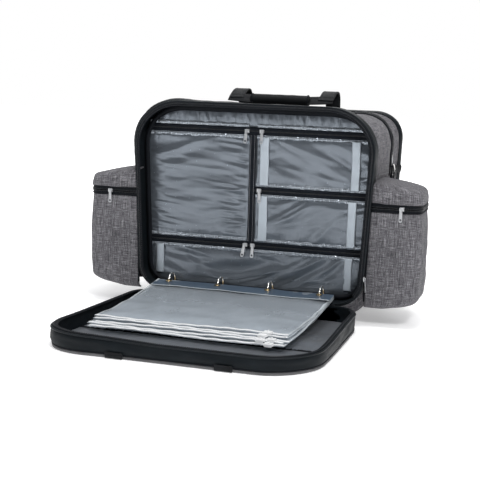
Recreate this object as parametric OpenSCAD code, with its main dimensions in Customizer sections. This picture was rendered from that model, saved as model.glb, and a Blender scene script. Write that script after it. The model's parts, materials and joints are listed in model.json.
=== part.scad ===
// Soft shoulder bag with a drop-down front, a zipped organiser, a set of clear
// pouches on binder rings, two side pockets and a top compartment.
// X runs to the right, -Y is the front, Z is up, and the floor is at Z = 0.

/* [Front frame] */
// Width of the front frame at its hinge
rim_w = 400; // [300:1:500]
// Height of the front frame
rim_h = 332; // [250:1:400]
// How far each side of the frame leans out at the top
rim_flare = 16; // [0:1:24]
// Radius of the two top corners
rim_top_r = 78; // [50:1:100]
// Radius of the two bottom corners
rim_bottom_r = 42; // [25:1:60]
// Height of the hinge above the floor
rim_z = 36; // [28:1:50]
// Depth of the front compartment inside the body
front_depth = 44; // [40:1:70]

/* [Main body] */
// Depth of the main compartment
main_depth = 192; // [150:1:240]
// Width of the body at the floor
body_w = 404; // [300:1:500]
// Height of the body
body_h = 360; // [280:1:430]
// How far each side of the body leans out at the top
body_flare = 12; // [0:1:20]
// Radius of the body's top corners
body_top_r = 66; // [40:1:90]
// Radius of the body's bottom corners
body_bottom_r = 48; // [30:1:70]
// Thickness of the padded walls
wall = 3; // [2:0.5:6]
// Depth of the black band along the back edge
trim_depth = 22; // [12:1:40]
// Thickness of the base panel
base_t = 3; // [2:0.5:5]

/* [Top compartment] */
// Distance of the main zip behind the side pockets
zip_behind = 23; // [18:1:40]
// Height where the main zip ends and the cover folds
cover_z = 262; // [220:1:280]

/* [Side pockets] */
// How far a side pocket stands out from the body
pocket_out = 88; // [60:1:110]
// Depth of a side pocket from front to back
pocket_d = 120; // [90:1:150]
// Distance of a side pocket's front behind the front frame
pocket_set = 13; // [12:1:50]
// Height of a side pocket's floor
pocket_z = 32; // [20:1:60]
// Height of a side pocket, with its lid
pocket_h = 218; // [180:1:230]
// Height of the lid above its zip
lid_h = 44; // [30:1:60]
// Thickness of the pocket fabric
pocket_t = 2.5; // [2:0.5:4]

/* [Organiser] */
// Height of the top zip band above the hinge
band_top = 286; // [250:1:300]
// Height of the right zip band above the hinge
band_right = 183; // [150:1:210]
// Height of the low zip band above the hinge
band_low = 85; // [75:1:110]
// Place of the upright binding, from the middle
band_x = -7; // [-40:1:40]
// Width of a zip band
band_w = 13; // [10:0.5:18]
// Fullness of the pockets in front of the panel
pocket_full = 4; // [3:0.5:6]

/* [Rings and pouches] */
// Distance of the first ring from the side of a pouch
ring_end = 24; // [15:1:60]
// Radius of a ring to the middle of its wire
ring_r = 15.5; // [12:0.5:16]
// Radius of the ring wire
ring_wire = 1.5; // [1:0.1:2]
// Room beside the pouches, between them and the frame
pouch_side = 38; // [36:1:60]
// Place of the pouches, from the middle
pouch_mid = -8; // [-10:1:10]
// Length of the longest pouch beyond the rings
pouch_len = 252; // [200:1:265]
// Thickness of a pouch
pouch_t = 1.2; // [0.8:0.1:1.4]
// Slope of the pouches towards the open flap, in degrees
pouch_slope = 5; // [3:0.5:6]

/* [Handles and rings] */
// Distance between the legs of a handle
handle_w = 172; // [120:1:200]
// Width of the webbing
web_w = 28; // [20:1:32]
// Thickness of the webbing
web_t = 2.4; // [1.5:0.1:3]
// Reach of a handle from its stitching
handle_reach = 60; // [50:1:80]
// Length of a handle grip
grip_len = 114; // [80:1:120]
// Inside radius of a strap ring
dee_r = 13; // [10:0.5:16]

/* [Zip parts] */
// Length of a slider
slider_l = 9; // [7:0.5:11]
// Width of a slider
slider_w = 7; // [5:0.5:8]
// Thickness of a slider
slider_t = 3.2; // [2.5:0.1:4]
// Length of a slider's pull
pull_l = 22; // [14:1:26]

/* [Fits] */
// Gap between two zipped edges
zip_gap = 0.6; // [0.4:0.1:1]
// Gap under a slider
slide_gap = 0.3; // [0.2:0.1:0.6]
// Gap round a turning bar
turn_gap = 0.4; // [0.2:0.1:0.8]

/* [Hidden] */
$fn = 48;
wide = 1200;
front_y = -(front_depth + main_depth) / 2;
mid_y = front_y + front_depth;
back_y = mid_y + main_depth;
trim_y = back_y - trim_depth;
rim_top = rim_z + rim_h;
tape_d = 4.5;
tape_w = 4;
tape_from = rim_bottom_r + 2;
piping = 2.5;
roll_r = 2.2;
panel_t = 3;
panel_y = mid_y - panel_t;
face_y = panel_y - pocket_full;
band_y = face_y - 1.5;
strip_top = rim_h - 14;
ring_n = 4;
ring_y = panel_y - pocket_full - ring_r - 4.0;
ring_z = rim_z + wall + 9;
pouch_w = rim_w - 2 * pouch_side;
ring_pitch = (pouch_w - 2 * ring_end) / (ring_n - 1);
plate_t = 2;
plate_top = rim_z + wall + plate_t;
pouch_n = 5;
pouch_pitch = pouch_t + 0.5;
pouch_step = 8;
header_back = 9;
header_front = 25;
header_t = 0.6;
hole_r = 3.2;
pouch_slider_x = pouch_mid + pouch_w / 2 - 30;
flap_floor = 5.5;
flap_t = 2.5;
flap_gap = roll_r + 0.6;
flap_rim = rim_z - zip_gap;
flap_y0 = front_y - rim_h;
pocket_y0 = front_y + pocket_set;
pocket_front_r = 22;
pocket_back_r = 40;
zip_y = pocket_y0 + pocket_d + zip_behind;
pocket_zip_z = pocket_z + pocket_h - lid_h;
pocket_x1 = body_w / 2 + pocket_out + 4;
lid_x = rim_w / 2 + piping + rim_flare * (pocket_z + pocket_h - rim_z) / rim_h + 0.8;
side_slope = body_flare / body_h;
dee_y = zip_y + 17;
dee_z = cover_z - 14;
dee_wire = 1.5;
dee_leg = 5;
dee_lean = 7;
dee_len = 22;
dee_x = body_w / 2 + side_slope * dee_z + 7.5;
front_handle_y = flap_y0 + 32;
front_handle_z = 1.8;
rear_handle_y = back_y + web_t / 2;
rear_handle_z = body_h + 3.8;
grip_r = 8;
flap_reach = handle_reach + 34;
main_slider_z = body_h - body_top_r - 8;
flap_slider_z = rim_z + rim_bottom_r + 6;

// points of an arc in the plane
function arc(x, z, r, a0, a1, n) =
    [for (i = [0:n]) let (a = a0 + (a1 - a0) * i / n) [x + r * cos(a), z + r * sin(a)]];

// upright outline with round corners, leaning out by flare at the top
function outline(w, z0, z1, rt, rb, flare, inset) =
    let (x = w / 2 - inset, lo = z0 + inset, hi = z1 - inset, t = rt - inset, b = rb - inset)
    [for (p = concat(arc(x - b, lo + b, b, -90, 0, 6), arc(x - t, hi - t, t, 0, 90, 9),
        arc(t - x, hi - t, t, 90, 180, 9), arc(b - x, lo + b, b, 180, 270, 6)))
        [p[0] * (1 + 2 * flare / w * (p[1] - z0) / (z1 - z0)), p[1]]];

function rim_outline(inset) =
    outline(rim_w, rim_z, rim_top, rim_top_r, rim_bottom_r, rim_flare, inset);

function body_outline(inset) =
    outline(body_w, base_t, body_h, body_top_r, body_bottom_r, body_flare, inset);

function flap_outline(inset) =
    outline(rim_w, flap_gap, rim_h, rim_top_r, rim_bottom_r, rim_flare, inset);

function ring_x(i) = pouch_mid + (i - (ring_n - 1) / 2) * ring_pitch;

function pouch_long(i) = pouch_len - i * pouch_step;

function pouch_level(i) = (i - (pouch_n - 1) / 2) * pouch_pitch;

// a box from one corner to the other
module block(a, b) {
    translate(a)
        cube(b - a);
}

// an upright outline given depth along Y
module upright(points, y0, y1) {
    translate([0, y1, 0])
        rotate([90, 0, 0])
            linear_extrude(y1 - y0)
                polygon(points);
}

// a flap outline laid flat in front of the hinge
module laid(points, z0, z1) {
    translate([0, front_y, z0])
        mirror([0, 1, 0])
            linear_extrude(z1 - z0)
                polygon(points);
}

// a bar along X
module bar_x(r, x0, x1, y, z) {
    translate([x0, y, z])
        rotate([0, 90, 0])
            cylinder(r = r, h = x1 - x0);
}

// a bar along Y
module bar_y(r, y0, y1, x, z) {
    translate([x, y1, z])
        rotate([90, 0, 0])
            cylinder(r = r, h = y1 - y0);
}

module right_or_left(side) {
    if (side > 0)
        children();
    else
        mirror([1, 0, 0])
            children();
}

// ---- main body ----

// the space of the cover, above its fold and behind the main zip
module cover_space(gap) {
    block([-wide, zip_y + gap, cover_z + gap], [wide, wide, wide]);
}

module main_shell() {
    color("#6b6a70")
        difference() {
            upright(body_outline(0), mid_y, trim_y);
            upright(body_outline(wall), mid_y + wall, trim_y + 1);
            cover_space(0);
        }
}

module rear_trim() {
    color("#1d2125")
        difference() {
            upright(body_outline(0), trim_y, back_y);
            upright(body_outline(wall), trim_y - 1, back_y - wall);
            cover_space(0);
        }
}

module base_panel() {
    x = body_w / 2 - body_bottom_r;
    color("#1d2125")
        block([-x, mid_y + 6, 0], [x, back_y - 6, base_t]);
}

// ---- front frame ----

module front_gusset() {
    color("#20262c")
        difference() {
            upright(rim_outline(0), front_y + zip_gap, mid_y);
            upright(rim_outline(wall), front_y - 1, mid_y + 1);
            block([-wide, front_y - 1, rim_z + tape_from], [wide, front_y + tape_d, wide]);
            bar_x(roll_r, -wide, wide, front_y, rim_z);
        }
}

module front_zip_tape() {
    color("#14181c")
        intersection() {
            union() {
                difference() {
                    upright(rim_outline(0), front_y + zip_gap, front_y + tape_d);
                    upright(rim_outline(tape_w), front_y - 1, front_y + tape_d + 1);
                }
                difference() {
                    upright(rim_outline(-piping), front_y + tape_d - 2, front_y + tape_d + 2);
                    upright(rim_outline(0), front_y, front_y + tape_d + 3);
                }
            }
            block([-wide, front_y - 1, rim_z + tape_from], [wide, mid_y, wide]);
        }
}

module hinge_roll() {
    x = rim_w / 2 - rim_bottom_r;
    color("#14181c")
        bar_x(roll_r, -x, x, front_y, rim_z);
}

// ---- organiser ----

module organiser_panel() {
    color("#8b8d93")
        upright(rim_outline(wall), panel_y, mid_y);
}

// a full pocket or band between two heights and two sides of the frame
module on_panel(x0, x1, z0, z1, y0) {
    intersection() {
        upright(rim_outline(wall + 1.5), y0, panel_y);
        block([x0, y0 - 1, rim_z + z0], [x1, panel_y + 1, rim_z + z1]);
    }
}

function under(band) = band - band_w / 2;

function over(band) = band + band_w / 2;

module pocket_top() {
    color("#8b8d93")
        on_panel(-wide, wide, over(band_top), strip_top, face_y);
}

module pocket_left() {
    color("#8b8d93")
        on_panel(-wide, band_x - band_w / 2, over(band_low), under(band_top), face_y);
}

module pocket_upper_right() {
    color("#8b8d93")
        on_panel(band_x + band_w / 2, wide, over(band_right), under(band_top), face_y);
}

module pocket_lower_right() {
    color("#8b8d93")
        on_panel(band_x + band_w / 2, wide, over(band_low), under(band_right), face_y);
}

module pocket_bottom() {
    color("#8b8d93")
        on_panel(-wide, wide, wall + plate_t + 2, under(band_low), face_y);
}

module zip_band_top() {
    color("#171b26")
        on_panel(-wide, wide, under(band_top), over(band_top), band_y);
}

module zip_band_low() {
    color("#171b26")
        on_panel(-wide, wide, under(band_low), over(band_low), band_y);
}

module zip_band_right() {
    color("#171b26")
        on_panel(band_x + band_w / 2, wide, under(band_right), over(band_right), band_y);
}

module upright_binding() {
    color("#171b26")
        on_panel(band_x - band_w / 2, band_x + band_w / 2, over(band_low), under(band_top), band_y);
}

// a slider with its pull, facing the front, with its back face at y = 0
module slider() {
    color("#b9bcc0")
        union() {
            block([-slider_l / 2, -slider_t, -slider_w / 2], [slider_l / 2, 0, slider_w / 2]);
            block([-1.6, -slider_t, -slider_w / 2 - pull_l], [1.6, 1.2 - slider_t, -slider_w / 2]);
        }
}

module pocket_slider(x, z) {
    translate([x, band_y - slide_gap, rim_z + z])
        slider();
}

// ---- rings and pouches ----

module ring_plate() {
    x = ring_pitch * (ring_n - 1) / 2 + 5;
    color("#9a9da1")
        difference() {
            block([pouch_mid - x, front_y + 2, rim_z + wall], [pouch_mid + x, face_y - 1, plate_top]);
            bar_x(roll_r, -wide, wide, front_y, rim_z);
        }
}

module binder_rings() {
    color("#c9ccd0")
        intersection() {
            for (i = [0:ring_n - 1])
                translate([ring_x(i), ring_y, ring_z])
                    rotate([0, 90, 0])
                        rotate_extrude()
                            translate([ring_r, 0])
                                circle(r = ring_wire);
            block([-wide, front_y - 20, plate_top], [wide, mid_y, wide]);
        }
}

// places a pouch piece so that its holes are on the rings
module on_rings() {
    translate([0, ring_y, ring_z])
        rotate([pouch_slope, 0, 0])
            translate([0, -ring_r, 0])
                children();
}

module ring_holes() {
    for (i = [0:ring_n - 1])
        translate([ring_x(i), 0, -20])
            cylinder(r = hole_r, h = 40);
}

module pouch(i) {
    x0 = pouch_mid - pouch_w / 2;
    z = pouch_level(i);
    color("#c9d0d4")
        on_rings()
            difference() {
                block([x0, -pouch_long(i), z - pouch_t / 2], [x0 + pouch_w, header_back, z + pouch_t / 2]);
                ring_holes();
            }
}

module pouch_header() {
    x0 = pouch_mid - pouch_w / 2;
    z = pouch_level(pouch_n - 1) + pouch_t / 2;
    color("#46525f")
        on_rings()
            difference() {
                block([x0, -header_front, z], [x0 + pouch_w, header_back, z + header_t]);
                ring_holes();
            }
}

module pouch_slider(i) {
    x = pouch_slider_x;
    y = -pouch_long(i) - slide_gap;
    z = pouch_level(i) - pouch_t / 2;
    color("#e6e8ea")
        on_rings()
            block([x - slider_l / 2, y - 6.4, z], [x + slider_l / 2, y, z + 4]);
}

// ---- front flap, open and flat on the floor ----

module flap_panel() {
    color("#6b6a70")
        union() {
            laid(flap_outline(wall), flap_floor, flap_floor + flap_t);
            difference() {
                laid(flap_outline(-piping), 0, flap_floor);
                laid(flap_outline(wall + 3), -1, flap_floor + 1);
                block([-wide, front_y - flap_gap, -1], [wide, front_y + 40, flap_floor + 1]);
            }
        }
}

module flap_gusset() {
    color("#20262c")
        difference() {
            laid(flap_outline(0), flap_floor, flap_rim);
            laid(flap_outline(wall), flap_floor - 1, flap_rim + 1);
            block([-wide, flap_y0 - 1, flap_rim - tape_d], [wide, front_y - tape_from, flap_rim + 1]);
        }
}

module flap_zip_tape() {
    color("#14181c")
        intersection() {
            union() {
                difference() {
                    laid(flap_outline(0), flap_rim - tape_d, flap_rim);
                    laid(flap_outline(tape_w), flap_rim - tape_d - 1, flap_rim + 1);
                }
                difference() {
                    laid(flap_outline(-piping), flap_rim - tape_d - 2, flap_rim - tape_d + 2);
                    laid(flap_outline(0), flap_rim - tape_d - 3, flap_rim);
                }
            }
            block([-wide, flap_y0 - 10, 0], [wide, front_y - tape_from, flap_rim]);
        }
}

// a row of flat pockets on the flap, between two distances from the hinge
module flap_row(s0, s1) {
    intersection() {
        laid(flap_outline(wall + 1.5), flap_floor + flap_t, flap_floor + flap_t + 3);
        block([-wide, front_y - s1, 0], [wide, front_y - s0, flap_rim]);
    }
}

module flap_pocket_near() {
    color("#6d7076")
        flap_row(rim_h * 0.66, rim_h - 6);
}

module flap_pocket_far() {
    color("#6d7076")
        flap_row(rim_h * 0.38, rim_h * 0.655);
}

// ---- handles ----

// the two strips that hold the front handle, under the flap and round its edge
module front_handle_tabs() {
    color("#101316")
        for (side = [-1, 1])
            right_or_left(side)
                union() {
                    x0 = (handle_w - web_w) / 2;
                    z0 = front_handle_z + web_t / 2 + turn_gap;
                    block([x0, flap_y0 + wall + 3, z0], [x0 + web_w, front_handle_y + 8, flap_floor]);
                    block([x0, flap_y0 - piping - web_t, 0], [x0 + web_w, flap_y0 - piping, 9]);
                }
}

// legs and cross piece of a handle: it turns about X and points along +Y from its axis
module handle_web(reach, rise) {
    x0 = (handle_w - web_w) / 2;
    t = web_t / 2;
    union() {
        for (side = [-1, 1])
            right_or_left(side)
                translate([x0, 0, 0])
                    rotate([90, 0, 90])
                        linear_extrude(web_w)
                            polygon([[0, -t], [reach - 12, rise - t], [reach - 12, rise + t], [0, t]]);
        for (side = [-1, 1])
            right_or_left(side)
                bar_x(t, x0, x0 + web_w, 0, 0);
        for (side = [-1, 1])
            right_or_left(side)
                block([grip_len / 2, reach - 14, rise - t], [handle_w / 2 + web_w / 2, reach + 14, rise + t]);
    }
}

module front_handle_web() {
    color("#101316")
        translate([0, front_handle_y, front_handle_z])
            handle_web(flap_reach, 0);
}

module front_handle_grip() {
    y = front_handle_y + flap_reach;
    color("#191d21")
        block([-grip_len / 2, y - 14, front_handle_z - web_t / 2],
            [grip_len / 2, y + 14, front_handle_z + web_t / 2 + 1.4]);
}

module rear_handle_tabs() {
    x0 = (handle_w - web_w) / 2;
    color("#101316")
        for (side = [-1, 1])
            right_or_left(side)
                block([x0, back_y, cover_z + 30], [x0 + web_w, back_y + web_t, body_h + 2]);
}

module rear_handle_web() {
    color("#101316")
        translate([0, rear_handle_y, rear_handle_z])
            mirror([0, 1, 0])
                handle_web(handle_reach, grip_r - 3.5);
}

module rear_handle_grip() {
    color("#191d21")
        bar_x(grip_r, -grip_len / 2, grip_len / 2, rear_handle_y - handle_reach, rear_handle_z + grip_r - 3.5);
}

// ---- cover of the top compartment ----

module cover_shell() {
    color("#6b6a70")
        difference() {
            intersection() {
                upright(body_outline(0), mid_y, trim_y);
                cover_space(zip_gap);
            }
            upright(body_outline(wall), mid_y, trim_y + 1);
        }
}

module cover_trim() {
    color("#1d2125")
        difference() {
            intersection() {
                upright(body_outline(0), trim_y, back_y);
                cover_space(zip_gap);
            }
            upright(body_outline(wall), trim_y - 1, back_y - wall);
        }
}

module main_slider() {
    x = body_w / 2 + side_slope * main_slider_z + slide_gap + 0.2;
    y = zip_y + zip_gap / 2;
    color("#b9bcc0")
        union() {
            block([x, y - slider_w / 2, main_slider_z - slider_l / 2],
                [x + slider_t, y + slider_w / 2, main_slider_z + slider_l / 2]);
            block([x + slider_t - 2, y - 1.5, main_slider_z - slider_l / 2 - 38],
                [x + slider_t, y + 1.5, main_slider_z - slider_l / 2]);
        }
}

// ---- side pockets ----

// plan of the right pocket, with round outer corners
module pocket_plan(inset, x0) {
    x1 = pocket_x1 - inset;
    y0 = pocket_y0 + inset;
    y1 = pocket_y0 + pocket_d - inset;
    rf = pocket_front_r - inset;
    rb = pocket_back_r - inset;
    polygon(concat([[x0, y1], [x0, y0]], arc(x1 - rf, y0 + rf, rf, -90, 0, 6),
        arc(x1 - rb, y1 - rb, rb, 0, 90, 8)));
}

// the space taken by the body and the front frame beside a pocket
module beside() {
    upright(body_outline(0), mid_y, back_y);
    upright(rim_outline(-piping), front_y, mid_y);
}

module side_pocket(side) {
    color("#6b6a70")
        right_or_left(side)
            difference() {
                translate([0, 0, pocket_z])
                    linear_extrude(pocket_zip_z - zip_gap / 2 - pocket_z)
                        pocket_plan(0, body_w / 2 - 4);
                translate([0, 0, pocket_z + pocket_t])
                    linear_extrude(pocket_h)
                        pocket_plan(pocket_t, 0);
                beside();
            }
}

module pocket_lid(side) {
    z0 = pocket_zip_z + zip_gap / 2;
    z1 = pocket_z + pocket_h;
    color("#6b6a70")
        right_or_left(side)
            difference() {
                translate([0, 0, z0])
                    linear_extrude(z1 - z0)
                        pocket_plan(0, lid_x);
                translate([0, 0, z0 - 1])
                    linear_extrude(z1 - z0 + 1 - pocket_t)
                        pocket_plan(pocket_t, 0);
            }
}

module lid_slider(side) {
    y = pocket_y0 - slide_gap;
    color("#b9bcc0")
        right_or_left(side)
            translate([pocket_x1 - pocket_front_r - 10, y, pocket_zip_z])
                slider();
}

module flap_slider() {
    lean = rim_flare * (flap_slider_z - rim_z) / rim_h;
    x = rim_w / 2 + lean + piping + slide_gap + 0.3;
    y = front_y + tape_d;
    color("#b9bcc0")
        union() {
            block([x, y - 3, flap_slider_z - slider_l / 2], [x + slider_t, y + 3, flap_slider_z + slider_l / 2]);
            block([x + slider_t - 1.2, y - 1.6, flap_slider_z - slider_l / 2 - pull_l],
                [x + slider_t, y + 1.6, flap_slider_z - slider_l / 2]);
        }
}

// ---- strap rings ----

module dee_tab(side) {
    color("#101316")
        right_or_left(side)
            difference() {
                union() {
                    block([body_w / 2, dee_y - dee_len / 2, dee_z - 26],
                        [dee_x - 2.5, dee_y + dee_len / 2, dee_z]);
                    bar_y(dee_wire + turn_gap + 1.5, dee_y - dee_len / 2, dee_y + dee_len / 2, dee_x, dee_z);
                }
                bar_y(dee_wire + turn_gap, dee_y - dee_len, dee_y + dee_len, dee_x, dee_z);
                beside();
            }
}

// half of a round bend, in the YZ plane
module dee_bend() {
    intersection() {
        rotate([0, 90, 0])
            rotate_extrude()
                translate([dee_r, 0])
                    circle(r = dee_wire);
        block([-5, -dee_r - 5, 0], [5, dee_r + 5, dee_r + 5]);
    }
}

module strap_ring(side) {
    color("#c9ccd0")
        right_or_left(side)
            translate([dee_x, dee_y, dee_z])
                rotate([0, -dee_lean, 0])
                    union() {
                        bar_y(dee_wire, -dee_r, dee_r, 0, 0);
                        for (y = [-dee_r, dee_r])
                            translate([0, y, 0])
                                cylinder(r = dee_wire, h = dee_leg);
                        for (y = [-dee_r, dee_r])
                            translate([0, y, 0])
                                sphere(r = dee_wire);
                        translate([0, 0, dee_leg])
                            dee_bend();
                    }
}

main_shell();
rear_trim();
base_panel();
front_gusset();
front_zip_tape();
hinge_roll();
organiser_panel();
pocket_top();
pocket_left();
pocket_upper_right();
pocket_lower_right();
pocket_bottom();
zip_band_top();
zip_band_low();
zip_band_right();
upright_binding();
pocket_slider(band_x - 11, band_top);  // slider_top_left
pocket_slider(band_x + 16, band_top);  // slider_top_right
pocket_slider(band_x + 14, band_right);  // slider_right
pocket_slider(band_x - 9, band_low);  // slider_low_left
pocket_slider(band_x + 5, band_low);  // slider_low_right
ring_plate();
binder_rings();
pouch(0);  // pouch_1
pouch(1);  // pouch_2
pouch(2);  // pouch_3
pouch(3);  // pouch_4
pouch(4);  // pouch_5
pouch_header();
pouch_slider(0);  // pouch_slider_1
pouch_slider(1);  // pouch_slider_2
pouch_slider(2);  // pouch_slider_3
pouch_slider(3);  // pouch_slider_4
pouch_slider(4);  // pouch_slider_5
flap_panel();
flap_gusset();
flap_zip_tape();
flap_pocket_near();
flap_pocket_far();
front_handle_tabs();
front_handle_web();
front_handle_grip();
rear_handle_tabs();
rear_handle_web();
rear_handle_grip();
cover_shell();
cover_trim();
main_slider();
side_pocket(-1);  // side_pocket_left
side_pocket(1);  // side_pocket_right
pocket_lid(-1);  // pocket_lid_left
pocket_lid(1);  // pocket_lid_right
lid_slider(-1);  // lid_slider_left
lid_slider(1);  // lid_slider_right
flap_slider();
dee_tab(-1);  // strap_tab_left
dee_tab(1);  // strap_tab_right
strap_ring(-1);  // strap_ring_left
strap_ring(1);  // strap_ring_right
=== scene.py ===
import json
import math
import bmesh
import bpy
import numpy as np
from mathutils import Matrix, Vector

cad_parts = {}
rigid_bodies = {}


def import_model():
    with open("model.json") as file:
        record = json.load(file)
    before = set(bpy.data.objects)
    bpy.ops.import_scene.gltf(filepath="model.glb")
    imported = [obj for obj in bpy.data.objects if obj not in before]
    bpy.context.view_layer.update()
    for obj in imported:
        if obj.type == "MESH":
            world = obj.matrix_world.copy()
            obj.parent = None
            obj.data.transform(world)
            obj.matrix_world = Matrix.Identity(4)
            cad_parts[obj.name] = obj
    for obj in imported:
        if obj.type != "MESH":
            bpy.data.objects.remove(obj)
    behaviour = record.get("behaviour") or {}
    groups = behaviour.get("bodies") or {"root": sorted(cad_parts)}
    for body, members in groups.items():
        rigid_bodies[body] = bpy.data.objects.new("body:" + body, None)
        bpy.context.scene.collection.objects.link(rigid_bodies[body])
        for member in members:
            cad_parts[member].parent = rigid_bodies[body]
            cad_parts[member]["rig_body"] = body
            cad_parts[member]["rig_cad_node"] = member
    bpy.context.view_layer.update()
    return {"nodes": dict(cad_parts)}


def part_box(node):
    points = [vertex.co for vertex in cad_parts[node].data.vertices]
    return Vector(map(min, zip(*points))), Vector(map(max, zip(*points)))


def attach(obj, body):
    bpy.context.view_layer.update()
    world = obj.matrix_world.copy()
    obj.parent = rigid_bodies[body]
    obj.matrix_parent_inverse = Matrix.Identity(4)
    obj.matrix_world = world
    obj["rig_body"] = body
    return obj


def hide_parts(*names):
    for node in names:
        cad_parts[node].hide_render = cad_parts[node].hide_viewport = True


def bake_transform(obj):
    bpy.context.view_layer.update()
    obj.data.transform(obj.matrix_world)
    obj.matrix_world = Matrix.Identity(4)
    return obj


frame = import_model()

# numbers shared by the whole bag, in metres
gussetLow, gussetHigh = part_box("front_gusset")
panelLow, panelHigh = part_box("organiser_panel")
shellLow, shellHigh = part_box("main_shell")
trimLow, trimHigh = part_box("rear_trim")
rim = {"width": 0.400, "low": gussetLow[2], "high": gussetHigh[2], "topR": 0.078, "lowR": 0.042,
       "flare": 0.016, "front": -0.118, "back": gussetHigh[1], "wall": 0.003}
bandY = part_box("zip_band_top")[0][1]
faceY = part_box("pocket_left")[0][1]
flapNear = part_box("flap_gusset")[0][1]
coverZ = trimHigh[2]
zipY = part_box("cover_shell")[0][1] - 0.0003
trimY = trimLow[1] - 0.006
backY = trimHigh[1]


# small tools
def latticeNoise(x, y, seed):  # smooth noise from -1 to 1, the same each run
    x, y = np.broadcast_arrays(np.asarray(x, float), np.asarray(y, float))
    xi, yi = np.floor(x).astype(np.int64), np.floor(y).astype(np.int64)
    fx, fy = x - xi, y - yi
    fx, fy = fx * fx * (3 - 2 * fx), fy * fy * (3 - 2 * fy)

    def corner(i, j):
        h = (i * 374761393 + j * 668265263 + seed * 974634777) & 0x7FFFFFFF
        h = ((h ^ (h >> 13)) * 1274126177) & 0x7FFFFFFF
        return ((h ^ (h >> 16)) % 10007) / 5003.5 - 1

    low = corner(xi, yi) * (1 - fx) + corner(xi + 1, yi) * fx
    high = corner(xi, yi + 1) * (1 - fx) + corner(xi + 1, yi + 1) * fx
    return low * (1 - fy) + high * fy


def crease(x, y, seed):  # sharp folds between soft valleys, from about -1 to 1
    n = latticeNoise(x, y, seed) + 0.28 * latticeNoise(x * 1.9, y * 1.9, seed + 7)
    return 1 - 2.0 * np.sqrt(n * n + 0.008)


def addPiece(name, points, faces, material, body, uv=None, smooth=True):
    data = bpy.data.meshes.new(name)
    data.from_pydata([tuple(p) for p in np.asarray(points, float)], [], faces)
    data.validate()
    if uv is not None:
        layer = data.uv_layers.new(name="cut")
        index = np.empty(len(data.loops), np.int32)
        data.loops.foreach_get("vertex_index", index)
        layer.data.foreach_set("uv", np.asarray(uv, float)[index].ravel())
    data.polygons.foreach_set("use_smooth", [smooth] * len(data.polygons))
    data.materials.append(material)
    piece = bpy.data.objects.new(name, data)
    bpy.context.scene.collection.objects.link(piece)
    if body:
        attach(piece, body)
    return piece


def gridPiece(name, grid, material, body, uv=None, thick=0.0, flip=False, wrap=False):
    rows, cols = grid.shape[:2]
    if uv is None:
        along = np.r_[0, np.cumsum(np.linalg.norm(np.diff(grid[:, cols // 2], axis=0), axis=1))]
        across = np.r_[0, np.cumsum(np.linalg.norm(np.diff(grid[rows // 2], axis=0), axis=1))]
        uv = np.stack(np.meshgrid(along, across, indexing="ij"), -1)
    index = np.arange(rows * cols).reshape(rows, cols)
    nextCol = np.roll(index, -1, 1) if wrap else index[:, 1:]
    here = index if wrap else index[:, :-1]
    quads = np.stack([here[:-1], here[1:], nextCol[1:], nextCol[:-1]], -1).reshape(-1, 4)
    if flip:
        quads = quads[:, ::-1]
    piece = addPiece(name, grid.reshape(-1, 3), quads.tolist(), material, body, uv.reshape(-1, 2))
    if thick:
        solid = piece.modifiers.new("thick", "SOLIDIFY")
        solid.thickness = thick
        solid.offset = -1
    return piece


def frames(path, closed=False):  # tangents along a path
    if closed:
        tangent = np.roll(path, -1, 0) - np.roll(path, 1, 0)
    else:
        tangent = np.gradient(path, axis=0)
    return tangent / np.maximum(np.linalg.norm(tangent, axis=1, keepdims=True), 1e-9)


def tubePiece(name, path, radius, material, body, up, closed=False, sides=8, squashed=1.0):
    path = np.asarray(path, float)
    t = frames(path, closed)
    up = np.broadcast_to(np.asarray(up, float), path.shape)
    side = np.cross(t, up)
    side /= np.maximum(np.linalg.norm(side, axis=1, keepdims=True), 1e-9)
    top = np.cross(side, t)
    angle = np.linspace(0, 2 * np.pi, sides, endpoint=False)
    radii = np.broadcast_to(np.asarray(radius, float), (len(path),))[:, None, None]
    ring = (side[:, None] * np.cos(angle)[None, :, None]
            + top[:, None] * np.sin(angle)[None, :, None] * squashed) * radii
    grid = path[:, None] + ring
    if closed:
        grid = np.concatenate([grid, grid[:1]], 0)
    piece = gridPiece(name, grid, material, body, wrap=True)
    if not closed:
        mesh = bmesh.new()
        mesh.from_mesh(piece.data)
        bmesh.ops.holes_fill(mesh, edges=[e for e in mesh.edges if e.is_boundary], sides=0)
        mesh.to_mesh(piece.data)
        mesh.free()
    return piece


def resample(path, step):
    path = np.asarray(path, float)
    length = np.r_[0, np.cumsum(np.linalg.norm(np.diff(path, axis=0), axis=1))]
    count = max(int(round(length[-1] / step)), 2)
    at = np.linspace(0, length[-1], count + 1)
    return np.stack([np.interp(at, length, path[:, k]) for k in range(path.shape[1])], 1)


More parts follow.
